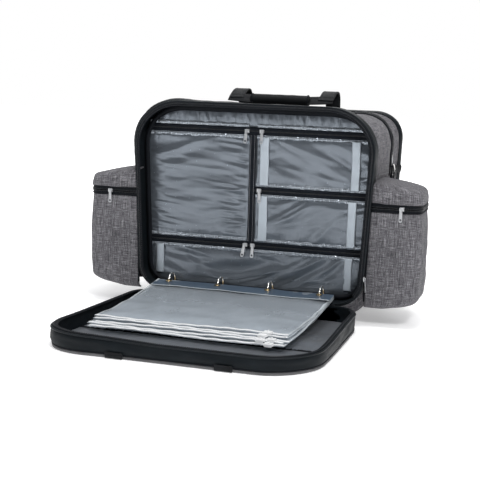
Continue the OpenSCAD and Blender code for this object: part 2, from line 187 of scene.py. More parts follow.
def blockRow(name, path, up, size, step, material, body, zigzag=0.0):
    # small blocks along a path: zip teeth or stitches; size is (along, across, up)
    path = resample(path, step)
    t = frames(path)
    if np.ndim(up) == 1:
        up = np.broadcast_to(np.asarray(up, float), path.shape)
    else:
        place = np.linspace(0, 1, len(up))
        up = np.stack([np.interp(np.linspace(0, 1, len(path)), place, up[:, k]) for k in range(3)], 1)
    side = np.cross(t, up)
    side /= np.maximum(np.linalg.norm(side, axis=1, keepdims=True), 1e-9)
    shift = zigzag * np.where(np.arange(len(path)) % 2, 1, -1)[:, None] * side
    corners = np.array([[a, b, c] for a in (-1, 1) for b in (-1, 1) for c in (0, 1)], float)
    corners *= np.array([size[0] / 2, size[1] / 2, size[2]])
    corners[1::2, :2] *= 0.7
    points = (path[:, None] + shift[:, None] + t[:, None] * corners[None, :, :1]
              + side[:, None] * corners[None, :, 1:2] + up[:, None] * corners[None, :, 2:3])
    block = np.array([[0, 1, 3, 2], [4, 6, 7, 5], [0, 4, 5, 1], [2, 3, 7, 6], [1, 5, 7, 3], [0, 2, 6, 4]])
    faces = (np.arange(len(path))[:, None, None] * 8 + block[None]).reshape(-1, 4)
    return addPiece(name, points.reshape(-1, 3), faces.tolist(), material, body, smooth=False)


def line(a, b, n):
    return np.linspace(a, b, n, endpoint=False)


def arcPoints(cx, cz, r, a0, a1, n):
    a = np.radians(np.linspace(a0, a1, n, endpoint=False))
    return np.stack([cx + r * np.cos(a), cz + r * np.sin(a)], 1)


def outline(shape, inset=0.0, counts=(26, 12, 44, 18, 24)):
    # closed outline from the foot's middle, up the right, over the top and down the left
    w, lo, hi = shape["width"] / 2 - inset, shape["low"] + inset, shape["high"] - inset
    t, b = shape["topR"] - inset, shape["lowR"] - inset
    half = np.concatenate([line((0, lo), (w - b, lo), counts[0]), arcPoints(w - b, lo + b, b, -90, 0, counts[1]),
                           line((w, lo + b), (w, hi - t), counts[2]), arcPoints(w - t, hi - t, t, 0, 90, counts[3]),
                           line((w - t, hi), (0, hi), counts[4]), [(0, hi)]])
    lean = 1 + 2 * shape["flare"] / shape["width"] * (half[:, 1] - shape["low"]) / (shape["high"] - shape["low"])
    half = np.stack([half[:, 0] * lean, half[:, 1]], 1)
    return np.concatenate([half, half[-2::-1] * (-1, 1)])


def halfWidth(z, inset):  # inside half width of the front frame at a height
    w, lo, hi = rim["width"] / 2 - inset, rim["low"] + inset, rim["high"] - inset
    t, b = rim["topR"] - inset, rim["lowR"] - inset
    z = np.clip(z, lo + 1e-6, hi - 1e-6)
    x = np.full_like(z, w)
    x = np.where(z > hi - t, w - t + np.sqrt(np.maximum(t * t - (z - hi + t) ** 2, 0)), x)
    x = np.where(z < lo + b, w - b + np.sqrt(np.maximum(b * b - (lo + b - z) ** 2, 0)), x)
    return x * (1 + 2 * rim["flare"] / rim["width"] * (z - rim["low"]) / (rim["high"] - rim["low"]))


def upright(loop, y):  # outline points standing at a depth
    return np.stack([loop[:, 0], np.broadcast_to(y, len(loop)), loop[:, 1]], 1)


def laid(loop, z):  # outline points of the flap, flat in front of the hinge
    return np.stack([loop[:, 0], rim["front"] - (loop[:, 1] - rim["low"]), np.broadcast_to(z, len(loop))], 1)


# materials
def newMaterial(name):
    material = bpy.data.materials.new(name)
    material.use_nodes = True
    tree = material.node_tree
    shader = tree.nodes["Principled BSDF"]
    return material, tree, shader


def node(tree, kind, **values):
    made = tree.nodes.new(kind)
    for key, value in values.items():
        if hasattr(made, key):
            setattr(made, key, value)
        else:
            made.inputs[key.replace("_", " ")].default_value = value
    return made


def coords(tree, scale, useUv=True, turn=0.0):
    source = node(tree, "ShaderNodeTexCoord")
    mapping = node(tree, "ShaderNodeMapping")
    mapping.inputs["Scale"].default_value = scale
    mapping.inputs["Rotation"].default_value = (0, 0, turn)
    tree.links.new(source.outputs["UV" if useUv else "Object"], mapping.inputs["Vector"])
    return mapping.outputs["Vector"]


def noiseAt(tree, vector, scale, detail=3.0, rough=0.6):
    made = node(tree, "ShaderNodeTexNoise", Scale=scale, Detail=detail, Roughness=rough)
    tree.links.new(vector, made.inputs["Vector"])
    return made.outputs["Fac"]


def waveAt(tree, vector, scale, distortion=0.0, direction="X"):
    made = node(tree, "ShaderNodeTexWave", Scale=scale, Distortion=distortion)
    made.bands_direction = direction
    tree.links.new(vector, made.inputs["Vector"])
    return made.outputs["Fac"]


def mathAt(tree, operation, a, b):
    made = node(tree, "ShaderNodeMath", operation=operation)
    for socket, value in zip(made.inputs, (a, b)):
        if isinstance(value, (int, float)):
            socket.default_value = value
        else:
            tree.links.new(value, socket)
    return made.outputs[0]


def rampAt(tree, value, stops):
    made = node(tree, "ShaderNodeValToRGB")
    ramp = made.color_ramp
    while len(ramp.elements) < len(stops):
        ramp.elements.new(0.5)
    for element, (place, colour) in zip(ramp.elements, stops):
        element.position = place
        element.color = (*colour, 1) if len(colour) == 3 else colour
    tree.links.new(value, made.inputs["Fac"])
    return made.outputs["Color"]


def bumpTo(tree, shader, height, strength, distance):
    made = node(tree, "ShaderNodeBump", Strength=strength, Distance=distance)
    tree.links.new(height, made.inputs["Height"])
    tree.links.new(made.outputs["Normal"], shader.inputs["Normal"])


def heatherCloth(name, useUv=True):  # two-tone yarns crossing, with slubs
    material, tree, shader = newMaterial(name)
    warp = noiseAt(tree, coords(tree, (60, 1100, 900), useUv), 1.0, 2.0)
    weft = noiseAt(tree, coords(tree, (1100, 60, 60), useUv), 1.0, 2.0)
    slubs = noiseAt(tree, coords(tree, (12, 300, 200), useUv), 1.0, 2.0)
    fine = noiseAt(tree, coords(tree, (900, 900, 900), useUv), 1.0, 1.0)
    broad = noiseAt(tree, coords(tree, (9, 9, 9), useUv), 1.0, 2.0)
    mix = mathAt(tree, "ADD", mathAt(tree, "MULTIPLY", warp, 0.36), mathAt(tree, "MULTIPLY", weft, 0.34))
    mix = mathAt(tree, "ADD", mix, mathAt(tree, "MULTIPLY", fine, 0.2))
    mix = mathAt(tree, "ADD", mix, mathAt(tree, "MULTIPLY", slubs, 0.14))
    mix = mathAt(tree, "ADD", mix, mathAt(tree, "MULTIPLY", broad, 0.06))
    colour = rampAt(tree, mix, [(0.40, (0.014, 0.0135, 0.016)), (0.50, (0.060, 0.0575, 0.064)),
                                (0.57, (0.128, 0.125, 0.136)), (0.68, (0.33, 0.326, 0.345))])
    tree.links.new(colour, shader.inputs["Base Color"])
    shader.inputs["Roughness"].default_value = 0.86
    shader.inputs["Sheen Weight"].default_value = 0.06
    shader.inputs["Specular IOR Level"].default_value = 0.2
    bumpTo(tree, shader, mix, 0.5, 0.0006)
    return material


def plainCloth(name, colour, rough=0.7, weave=1500, strength=0.25, useUv=True, sheen=0.2):
    material, tree, shader = newMaterial(name)
    across = waveAt(tree, coords(tree, (1, 1, 1), useUv), weave / 6.28, 0.6, "X")
    along = waveAt(tree, coords(tree, (1, 1, 1), useUv), weave / 6.28, 0.6, "Y")
    weaveHeight = mathAt(tree, "MULTIPLY", across, along)
    patch = noiseAt(tree, coords(tree, (14, 14, 14), useUv), 1.0, 4.0)
    light = tuple(min(c * 1.5 + 0.0015, 1) for c in colour)
    dark = tuple(c * 0.7 for c in colour)
    tree.links.new(rampAt(tree, patch, [(0.3, dark), (0.55, colour), (0.8, light)]), shader.inputs["Base Color"])
    roughness = mathAt(tree, "ADD", mathAt(tree, "MULTIPLY", patch, 0.2), rough - 0.1)
    tree.links.new(roughness, shader.inputs["Roughness"])
    shader.inputs["Sheen Weight"].default_value = sheen
    shader.inputs["Specular IOR Level"].default_value = 0.13
    bumpTo(tree, shader, weaveHeight, strength, 0.0004)
    return material


def satinCloth(name, colour, rough=0.36):
    material, tree, shader = newMaterial(name)
    fine = waveAt(tree, coords(tree, (1, 1, 1)), 320, 1.0, "Y")
    patch = noiseAt(tree, coords(tree, (20, 20, 20)), 1.0, 4.0)
    small = noiseAt(tree, coords(tree, (160, 160, 160)), 1.0, 3.0)
    light = tuple(min(c * 1.08, 1) for c in colour)
    dark = tuple(c * 0.92 for c in colour)
    tree.links.new(rampAt(tree, patch, [(0.3, dark), (0.5, colour), (0.7, light)]), shader.inputs["Base Color"])
    tree.links.new(mathAt(tree, "ADD", mathAt(tree, "MULTIPLY", small, 0.12), rough - 0.06),
                   shader.inputs["Roughness"])
    shader.inputs["Metallic"].default_value = 0.6
    shader.inputs["Sheen Weight"].default_value = 0.15
    shader.inputs["Specular IOR Level"].default_value = 0.6
    height = mathAt(tree, "ADD", mathAt(tree, "MULTIPLY", fine, 0.3), mathAt(tree, "MULTIPLY", small, 0.5))
    bumpTo(tree, shader, height, 0.12, 0.0005)
    return material


def webbingCloth(name, colour):
    material, tree, shader = newMaterial(name)
    ribs = waveAt(tree, coords(tree, (1, 1, 1), False), 260, 0.4, "DIAGONAL")
    cross = waveAt(tree, coords(tree, (1, 1, 1), False), 120, 0.8, "X")
    patch = noiseAt(tree, coords(tree, (30, 30, 30), False), 1.0, 3.0)
    light = tuple(c * 2.0 + 0.002 for c in colour)
    tree.links.new(rampAt(tree, patch, [(0.35, colour), (0.75, light)]), shader.inputs["Base Color"])
    shader.inputs["Roughness"].default_value = 0.6
    shader.inputs["Sheen Weight"].default_value = 0.03
    shader.inputs["Specular IOR Level"].default_value = 0.16
    bumpTo(tree, shader, mathAt(tree, "ADD", ribs, mathAt(tree, "MULTIPLY", cross, 0.5)), 0.4, 0.0006)
    return material


def metal(name, colour, rough=0.24):
    material, tree, shader = newMaterial(name)
    scratches = noiseAt(tree, coords(tree, (300, 300, 900), False), 1.0, 3.0)
    dark = tuple(c * 0.8 for c in colour)
    tree.links.new(rampAt(tree, scratches, [(0.35, dark), (0.65, colour)]), shader.inputs["Base Color"])
    tree.links.new(mathAt(tree, "ADD", mathAt(tree, "MULTIPLY", scratches, 0.16), rough - 0.08),
                   shader.inputs["Roughness"])
    shader.inputs["Metallic"].default_value = 1.0
    bumpTo(tree, shader, scratches, 0.08, 0.0003)
    return material


def ringMetal(name, low, high):  # nickel, with a brassy tint where it meets the sheets
    material, tree, shader = newMaterial(name)
    place = node(tree, "ShaderNodeTexCoord")
    split = node(tree, "ShaderNodeSeparateXYZ")
    tree.links.new(place.outputs["Object"], split.inputs[0])
    height = mathAt(tree, "DIVIDE", mathAt(tree, "SUBTRACT", split.outputs["Z"], low), high - low)
    tree.links.new(rampAt(tree, height, [(0.0, (0.72, 0.50, 0.26)), (0.48, (0.78, 0.60, 0.36)),
                                         (0.60, (0.80, 0.79, 0.77))]), shader.inputs["Base Color"])
    scratches = noiseAt(tree, coords(tree, (400, 400, 400), False), 1.0, 3.0)
    tree.links.new(mathAt(tree, "MULTIPLY", scratches, 0.4), shader.inputs["Roughness"])
    shader.inputs["Metallic"].default_value = 1.0
    return material


def film(name, colour, alpha, rough=0.3, haze=0.35, fade=None):
    material, tree, shader = newMaterial(name)
    cloud = noiseAt(tree, coords(tree, (16, 16, 16)), 1.0, 5.0)
    specks = noiseAt(tree, coords(tree, (120, 70, 70)), 1.0, 2.0)
    light = tuple(min(c * 1.06, 1) for c in colour)
    dark = tuple(c * 0.93 for c in colour)
    tree.links.new(rampAt(tree, cloud, [(0.35, dark), (0.7, light)]), shader.inputs["Base Color"])
    veil = mathAt(tree, "ADD", mathAt(tree, "MULTIPLY", cloud, haze), alpha - haze / 2)
    if fade:  # the film is milkier towards its free end
        place = node(tree, "ShaderNodeTexCoord")
        split = node(tree, "ShaderNodeSeparateXYZ")
        tree.links.new(place.outputs["Object"], split.inputs[0])
        share = mathAt(tree, "DIVIDE", mathAt(tree, "SUBTRACT", split.outputs["Y"], fade[0]), fade[1] - fade[0])
        veil = mathAt(tree, "ADD", veil, rampAt(tree, share, [(0.0, (0, 0, 0)), (0.7, (fade[2] * 0.6,) * 3), (1.0, (fade[2],) * 3)]))
        milk = node(tree, "ShaderNodeMix", data_type="RGBA")
        tree.links.new(rampAt(tree, share, [(0.1, (0, 0, 0)), (0.9, (1, 1, 1))]), milk.inputs[0])
        milk.inputs[6].default_value = (*(c * 0.72 for c in colour), 1)
        tree.links.new(rampAt(tree, cloud, [(0.35, colour), (0.7, tuple(min(c * 1.2, 1) for c in colour))]), milk.inputs[7])
        tree.links.new(milk.outputs[2], shader.inputs["Base Color"])
    sparkle = rampAt(tree, specks, [(0.84, (0, 0, 0)), (0.9, (0.15, 0.15, 0.15))])
    tree.links.new(mathAt(tree, "ADD", veil, sparkle), shader.inputs["Alpha"])
    tree.links.new(mathAt(tree, "ADD", mathAt(tree, "MULTIPLY", cloud, 0.2), rough - 0.1),
                   shader.inputs["Roughness"])
    shader.inputs["Coat Weight"].default_value = 0.4
    shader.inputs["Coat Roughness"].default_value = 0.15
    bumpTo(tree, shader, cloud, 0.15, 0.0012)
    return material


def plastic(name, colour, rough=0.4):
    material, tree, shader = newMaterial(name)
    patch = noiseAt(tree, coords(tree, (90, 90, 90), False), 1.0, 3.0)
    dark = tuple(c * 0.9 for c in colour)
    tree.links.new(rampAt(tree, patch, [(0.3, dark), (0.7, colour)]), shader.inputs["Base Color"])
    tree.links.new(mathAt(tree, "ADD", mathAt(tree, "MULTIPLY", patch, 0.2), rough - 0.1),
                   shader.inputs["Roughness"])
    bumpTo(tree, shader, patch, 0.1, 0.0005)
    return material


heather = heatherCloth("heather")
black = plainCloth("blackFabric", (0.0042, 0.0068, 0.0092), 0.55, 1400, 0.3, sheen=0.02)
tape = plainCloth("zipTape", (0.0035, 0.0048, 0.0075), 0.6, 2200, 0.3, sheen=0.02)
navyTape = plainCloth("organiserTape", (0.0035, 0.0055, 0.0095), 0.58, 2200, 0.3, sheen=0.02)
piping = plainCloth("piping", (0.010, 0.013, 0.016), 0.42, 1800, 0.2, sheen=0.05)
satin = satinCloth("satinLining", (0.140, 0.160, 0.185), 0.25)
# the hem satin is the lining's satin painted lighter: a painted highlight for the light its puckered hems catch
satinHemLit = satinCloth("satinHem", (0.36, 0.40, 0.445), 0.26)
satinDark = satinCloth("flapLining", (0.205, 0.222, 0.250), 0.32)
pleatCloth = satinCloth("palePleat", (0.42, 0.47, 0.52), 0.42)
webbing = webbingCloth("webbing", (0.0055, 0.0062, 0.0075))
gripCloth = plainCloth("gripCloth", (0.0065, 0.0075, 0.0085), 0.50, 1200, 0.35, False, sheen=0.03)
nickel = metal("nickel", (0.74, 0.73, 0.71), 0.22)
zinc = metal("zincSlider", (0.60, 0.61, 0.63), 0.34)
steel = metal("steelPlate", (0.55, 0.56, 0.57), 0.4)
ringLow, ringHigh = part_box("binder_rings")
ringNickel = ringMetal("ringNickel", ringLow[2], ringHigh[2])
vinyl = film("frostedVinyl", (0.50, 0.555, 0.61), 0.34, 0.3, 0.12, fade=(-0.13, -0.36, 0.22))
pouchEdge = film("weldedEdge", (0.72, 0.77, 0.80), 0.55, 0.25, 0.2)
lipFilm = film("pouchLip", (0.62, 0.67, 0.71), 0.42, 0.3, 0.15)
brass = metal("goldEyelet", (0.70, 0.54, 0.30), 0.25)
silverPiping = plainCloth("silverPiping", (0.12, 0.12, 0.125), 0.55, 900, 0.3)
heatherPiping = plainCloth("heatherPiping", (0.10, 0.095, 0.10), 0.8, 900, 0.3)
headerFilm = film("headerFilm", (0.055, 0.085, 0.125), 0.9, 0.35, 0.15)
whitePlastic = plastic("whitePlastic", (0.80, 0.81, 0.82))
coilBlack = plastic("blackCoil", (0.009, 0.011, 0.014), 0.38)
greyThread = plastic("greyThread", (0.30, 0.31, 0.33), 0.7)
darkThread = plastic("darkThread", (0.03, 0.032, 0.036), 0.7)
print("materials made")


# body shell, behind the front frame
bodyShape = {"lowRows": 1, "wave": 0.0015, "dent": 0.003, "topDip": 0.004, "bulge": 0.003,
             "foot": 0.003, "roof": 0.3595, "backRoof": 0.3545}


def bodyStation(y):  # outline of the body at a depth: it grows out of the frame and closes at the back
    t = np.clip((y - rim["back"]) / 0.03, 0, 1)
    t = t * t * (3 - 2 * t)
    b = np.clip((y - rim["back"]) / (backY - rim["back"]), 0, 1)
    end = np.clip((y - (backY - 0.010)) / 0.010, 0, 1) ** 2
    c = np.clip((y - 0.060) / 0.036, 0, 1)
    c = c * c * (3 - 2 * c)
    proud = np.clip((y - trimY + 0.002) / 0.010, 0, 1)
    return {"width": 0.402 + 0.002 * t + 0.011 * c + 0.009 * proud - 0.010 * end, "low": rim["low"] + 0.002 + (bodyShape["foot"] - rim["low"] - 0.002) * t + 0.004 * end,
            "high": 0.366 + (bodyShape["roof"] - 0.366) * t + (bodyShape["backRoof"] - bodyShape["roof"]) * b + 0.003 * proud - 0.005 * end,
            "topR": 0.077 - 0.019 * t - 0.008 * c - 0.002 * end, "lowR": 0.043 + 0.005 * t, "flare": 0.0155 - 0.0035 * t}


def bodyLoop(y, seed=3):
    shape = bodyStation(y)
    loop = outline(shape)
    # the same rows lie on the fold height at every depth
    side = np.argmin(np.abs(outline(bodyStation(0.0))[:, 1][: len(loop) // 2] - coverZ))
    for k in (side, len(loop) - 1 - side):
        z0 = loop[k, 1]
        loop[k, 1] = coverZ
        loop[k, 0] *= 1 + 0.034 * (coverZ - z0) / shape["width"] * 2
    length = np.linspace(0, 1, len(loop))
    middle = np.sin(np.pi * np.clip((y - rim["back"]) / (backY - rim["back"]), 0, 1))
    swell = bodyShape["bulge"] * middle
    soft = bodyShape["wave"] * latticeNoise(length * 26, y * 22, seed) * middle
    soft = soft + 0.0008 * latticeNoise(length * 90, y * 70, seed + 1) * middle
    tangent = np.gradient(loop, axis=0)
    normal = np.stack([tangent[:, 1], -tangent[:, 0]], 1)
    normal /= np.linalg.norm(normal, axis=1, keepdims=True)
    top = np.clip((loop[:, 1] - 0.34) / 0.02, 0, 1)
    floor = np.clip((loop[:, 1] - 0.02) / 0.05, 0, 1)
    push = (swell * (1 - 2.2 * top) + soft) * floor
    return upright(loop + normal * push[:, None], y), side


frontDepths = np.r_[rim["back"] + np.array([0.0, 0.003, 0.007, 0.012, 0.018, 0.025]),
                    np.linspace(rim["back"] + 0.032, zipY, 16)]
rearDepths = np.linspace(zipY, trimY, 11)
bandDepths = np.r_[np.linspace(trimY, backY - 0.010, 9), backY - np.array([0.007, 0.004, 0.002, 0.0])]
foldRow = bodyLoop(0.0)[1]


def bodyGrid(depths):
    return np.stack([bodyLoop(y)[0] for y in depths])


fullFront = bodyGrid(frontDepths)
fullRear = bodyGrid(rearDepths)
bodyFront = gridPiece("bodyFront", fullFront, heather, "bag", thick=0.0025)
bodyRearRight = gridPiece("bodyRear", fullRear[:, : foldRow + 1], heather, "bag", thick=0.0025)
bodyRearLeft = gridPiece("bodyRearLeft", fullRear[:, -foldRow - 1:], heather, "bag", thick=0.0025)
coverTop = gridPiece("coverTop", fullRear[:, foldRow:-foldRow], heather, "cover", thick=0.0025)
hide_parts("main_shell")
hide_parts("cover_shell")

backBand = gridPiece("backBand", bodyGrid(bandDepths), black, None)
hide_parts("rear_trim", "cover_trim")


def backPanelGrid():  # the soft back, closed towards its middle
    rimLoop = bodyLoop(backY)[0]
    centre = np.array([0, backY, 0.18])
    rows = []
    for scale in (1.0, 0.985, 0.96, 0.92, 0.86, 0.78, 0.68, 0.56, 0.42, 0.28, 0.14, 0.0):
        ring = centre + (rimLoop - centre) * (scale, 0, scale)
        ring[:, 1] = backY + 0.0035 * (1 - scale ** 3) - 0.0006 * (0.98 < scale)
        ring[:, 1] += 0.0010 * latticeNoise(ring[:, 0] * 25, ring[:, 2] * 25, 5) * (1 - scale)
        rows.append(ring)
    return np.stack(rows)


backGrid = backPanelGrid()
backPanel = gridPiece("backPanel", backGrid, heather, None, uv=backGrid[..., [0, 2]])
backPiping = tubePiece("backPiping", bodyLoop(backY - 0.001)[0][:-1], 0.0028, piping, None, (0, 1, 0), closed=True)
trimSeam = tubePiece("trimSeam", bodyLoop(trimY)[0][:-1], 0.0013, tape, None, (0, 1, 0), closed=True)
for soft in (backBand, backPanel, backPiping, trimSeam):
    soft.data.update()
    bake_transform(soft)
print("body made")

# webbing over the fold on each side, and the closed base
foldBand = {"height": 0.012, "thick": 0.0016}
for side, tag in ((1, "Right"), (-1, "Left")):
    depths = np.linspace(zipY - 0.012, trimY + 0.012, 24)
    rows = []
    for y in depths:
        loop = bodyLoop(y)[0]
        x = abs(loop[foldRow, 0]) + 0.0012
        rows.append([(side * (x - 0.0005), y, coverZ - 0.015), (side * (x + 0.001), y, coverZ - 0.009),
                     (side * (x + 0.0012), y, coverZ - 0.004), (side * x, y, coverZ - 0.0008)])
    gridPiece("foldBand" + tag, np.array(rows), webbing, "bag", thick=foldBand["thick"], flip=side < 0)

baseLow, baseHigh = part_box("base_panel")
basePlan = np.linspace(0, 1, 25)
baseGrid = np.array([[(baseLow[0] + (baseHigh[0] - baseLow[0]) * u, baseLow[1] + (baseHigh[1] - baseLow[1]) * v,
                       0.0032 * min(1, 6 * abs(2 * max(abs(u - 0.5), abs(v - 0.5)) - 0.84) if max(abs(u - 0.5), abs(v - 0.5)) > 0.42 else 0.0))
                      for v in basePlan] for u in basePlan])
basePiece = gridPiece("basePanel", baseGrid, black, "bag", thick=0.002, flip=True)
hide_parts("base_panel")

# main zip over the top, from fold to fold
mainZip = {"tape": 0.012, "lift": 0.0012, "swell": 0.0022, "tooth": (0.0016, 0.0028, 0.0011), "pitch": 0.0024}
zipEdge = bodyLoop(zipY)[0][foldRow:-foldRow]


def stripAlong(path, fromDepth, toDepth, lift, rows=5):
    grid = []
    for y in np.linspace(fromDepth, toDepth, rows):
        loop = bodyLoop(y)[0][foldRow:-foldRow]
        tangent = frames(loop)
        normal = np.cross((0, 1, 0), tangent)
        normal /= np.linalg.norm(normal, axis=1, keepdims=True)
        share = abs(y - zipY) / mainZip["tape"]
        grid.append(loop + normal * (lift + mainZip["swell"] * math.cos(min(share, 1) * math.pi / 2)))
    return np.stack(grid), normal


frontStrip, zipNormal = stripAlong(zipEdge, zipY - mainZip["tape"], zipY - 0.0003, mainZip["lift"])
coverStrip, _ = stripAlong(zipEdge, zipY + 0.0009, zipY + mainZip["tape"], mainZip["lift"])
gridPiece("mainZipTapeFront", frontStrip, tape, "bag", thick=0.0011)
gridPiece("mainZipTapeCover", coverStrip, tape, "cover", thick=0.0011)
blockRow("mainZipTeeth", frontStrip[-1] - (0, 0.0012, 0), zipNormal, mainZip["tooth"], mainZip["pitch"], coilBlack, "bag")
blockRow("mainZipTeethCover", coverStrip[0] + (0, 0.0014, 0), zipNormal, mainZip["tooth"], mainZip["pitch"], coilBlack, "cover")
blockRow("mainZipStitch", frontStrip[0] + zipNormal * 0.0012 + (0, 0.0020, 0), zipNormal, (0.0022, 0.0006, 0.0004), 0.0034, darkThread, "bag")
print("main zip made")


# front frame
frontFrame = {"soft": 0.0016, "puff": 0.0022, "leftPuff": 0.0075}


def frameLoop(inset, y, laying=False, depth=0.0, seed=11):
    loop = outline(rim, inset)
    place = np.linspace(0, 1, len(loop))
    tangent = np.gradient(loop, axis=0)
    normal = np.stack([tangent[:, 1], -tangent[:, 0]], 1)
    normal /= np.maximum(np.linalg.norm(normal, axis=1, keepdims=True), 1e-9)
    soft = frontFrame["soft"] * latticeNoise(place * 30, depth * 3, seed) * np.sin(np.pi * depth)
    soft += 0.0007 * latticeNoise(place * 110, depth * 6, seed + 2) * np.sin(np.pi * depth)
    leftSide = 0.0 if laying else frontFrame["leftPuff"] * np.clip(-loop[:, 0] / 0.2, 0, 1) ** 2
    loop = loop + normal * (soft + (frontFrame["puff"] + leftSide) * np.sin(np.pi * depth) ** 0.8)[:, None]
    return laid(loop, y) if laying else upright(loop, y)


def gussetGrid(near, far, laying, seed):
    rows = []
    for d in np.linspace(1, 0, 10):
        rows.append(frameLoop(0.0, near + (far - near) * d, laying, d, seed))
    rows.append(frameLoop(0.0015, near + (0.0012 if near < far else -0.0012) * -1, laying, 0, seed))
    for d in np.linspace(0, 1, 10):
        rows.append(frameLoop(rim["wall"], near + (far - near) * d, laying, d, seed))
    return np.stack(rows)


frameGusset = gridPiece("frameGusset", gussetGrid(rim["front"] + 0.0018, rim["back"], False, 11), black, "bag", flip=True)
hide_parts("front_gusset")


def zipRing(tag, laying, level, inward, body):
    # tape, teeth, piping and stitching round a frame's edge; inward is the way into the frame
    start, stop = 33, -33  # rows past the two foot corners
    tapeRows = []
    for inset, dip in ((-0.0004, 0.0012), (0.0, 0.0002), (0.0025, 0.0), (0.0052, 0.0002), (0.0066, 0.0010)):
        tapeRows.append(frameLoop(inset, level + inward * dip, laying)[start:stop])
    outward = (0, 0, 1) if laying else (0, -1, 0)
    ring = gridPiece("edgeTape" + tag, np.stack(tapeRows), tape, body, flip=not laying)
    toothPath = frameLoop(0.0018, level, laying)[start:stop]
    blockRow("edgeTeeth" + tag, toothPath, outward, (0.0015, 0.0026, 0.0007), 0.0023, coilBlack, body)
    pipePath = frameLoop(-0.0014, level + inward * 0.0034, laying)
    tubePiece("edgePiping" + tag, pipePath[:-1], 0.0016, piping, body, outward, closed=True)
    blockRow("edgeStitch" + tag, frameLoop(0.0048, level - inward * 0.0002, laying)[start:stop], outward,
             (0.0022, 0.0005, 0.0003), 0.0034, darkThread, body)
    return ring


frameZip = zipRing("Frame", False, rim["front"] + 0.0008, 1, "bag")
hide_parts("front_zip_tape")
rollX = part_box("hinge_roll")[1][0]
rollPath = np.stack([np.linspace(-rollX, rollX, 80), np.full(80, rim["front"]), np.full(80, rim["low"])], 1)
rollPath[:, 2] += 0.0004 * latticeNoise(rollPath[:, 0] * 60, 0.5, 4)
hingeRoll = tubePiece("hingeRoll", rollPath, 0.0021, tape, "bag", (0, 0, 1), sides=12)
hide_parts("hinge_roll")
print("front frame made")

# organiser
bands = {"top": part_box("zip_band_top"), "low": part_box("zip_band_low"), "right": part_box("zip_band_right"),
         "upright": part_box("upright_binding")}
edgeInset = 0.0055


def satinPanel(name, cadNode, x0, x1, z0, z1, look, seed, material=satin, step=0.0016, laying=None, body="bag"):
    # x0 or x1 of None runs to the frame; look holds the folds of this pocket; laying is the flap's floor height
    zs = np.linspace(z0, z1, max(int((z1 - z0) / step), 10))
    reach = halfWidth(zs, edgeInset)
    left = -reach if x0 is None else np.full_like(zs, x0)
    right = reach if x1 is None else np.full_like(zs, x1)
    across = np.linspace(0, 1, max(int((right - left).max() / step), 10))
    x = left[None] + (right - left)[None] * across[:, None]
    z = np.broadcast_to(zs[None], x.shape)
    toSide = np.minimum(x - left[None], right[None] - x)
    toEnd = np.minimum(z - z0, z1 - z)
    rise = (1 - np.exp(-np.maximum(toSide, 0) / 0.007)) * (1 - np.exp(-np.maximum(toEnd, 0) / 0.006))
    height = look["full"] * rise
    height = height + look["gather"] * np.exp(-toEnd / look["gatherReach"]) * latticeNoise(x / 0.0042, z / 0.035, seed) \
        * np.clip(toEnd / 0.003, 0, 1)
    slant = look.get("slant", 0.0)
    height = height + look["sides"] * np.exp(-toSide / look["sideReach"]) \
        * crease(x / 0.05, (z + slant * x) / 0.009, seed + 3) * np.clip(toSide / 0.003, 0, 1) * rise
    cx = (x0 if x0 is not None else -0.2) * 0.5 + (x1 if x1 is not None else 0.2) * 0.5
    bow = look.get("bow", 0.0) * (x - cx) ** 2
    calm = np.clip(toSide / look.get("calm", 0.001), 0.1, 1)  # folds lie flatter where a pleat is sewn down
    for k, (amount, long, short, lean) in enumerate(look["folds"]):
        u, v = (x + lean * z) / long, (z - lean * x - bow) / short
        v = v + 0.8 * latticeNoise(u * 1.3, v * 0.35, seed + 60 + k)
        swing = 0.5 + 0.5 * latticeNoise(u * 0.9 + 3.1, v * 0.30, seed + 80 + k)
        wave = 0.6 * crease(u, v, seed + 11 + 5 * k) + 0.5 * latticeNoise(u * 0.8, v * 0.8, seed + 12 + 5 * k)
        height = height + amount * rise * calm * (0.35 + 0.85 * swing) * wave
    height = height + 0.0002 * latticeNoise(x / 0.030, z / 0.009, seed + 40) * rise
    height = 0.0012 + 0.5 * (height + np.sqrt(height ** 2 + 0.0010 ** 2))
    height = 0.0105 * np.tanh(height / 0.0105)  # no fold stands further out than this
    y = look.get("plane", faceY + 0.0040) - height
    grid = np.stack([x, y, z], -1)
    if laying is not None:
        grid = np.stack([x, rim["front"] - (z - rim["low"]), laying + height], -1)
    piece = gridPiece(name, grid, material, body, uv=np.stack([x, z], -1), flip=laying is not None)
    if cadNode:
        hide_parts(cadNode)
    return piece


topLook = {"full": 0.0024, "gather": 0.0026, "gatherReach": 0.03, "sides": 0.0006, "sideReach": 0.01,
           "folds": [(0.0014, 0.011, 0.09, 0.45)]}
bigLook = {"full": 0.0032, "gather": 0.0008, "gatherReach": 0.012, "sides": 0.0022, "sideReach": 0.034,
           "slant": 0.12, "folds": [(0.0044, 0.21, 0.027, 0.14), (0.0008, 0.20, 0.017, -0.08)]}
smallLook = {"full": 0.0030, "gather": 0.0006, "gatherReach": 0.014, "sides": 0.0010, "sideReach": 0.02,
             "slant": -0.2, "folds": [(0.0056, 0.14, 0.026, -0.55), (0.0010, 0.11, 0.016, -0.3)]}
lowLook = {"full": 0.0030, "gather": 0.0006, "gatherReach": 0.014, "sides": 0.0010, "sideReach": 0.02,
           "slant": 0.2, "folds": [(0.0056, 0.14, 0.026, 0.40), (0.0010, 0.11, 0.016, 0.25)]}
footLook = {"full": 0.0034, "calm": 0.05, "gather": 0.0006, "gatherReach": 0.012, "sides": 0.0012, "sideReach": 0.02,
            "bow": 1.6, "folds": [(0.0104, 0.19, 0.030, 0.34), (0.0012, 0.11, 0.016, -0.2)]}
splitLeft, splitRight = bands["upright"][0][0], bands["upright"][1][0]
satinPanel("stripTop", "pocket_top", None, None, bands["top"][1][2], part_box("pocket_top")[1][2] + 0.005, topLook, 21)
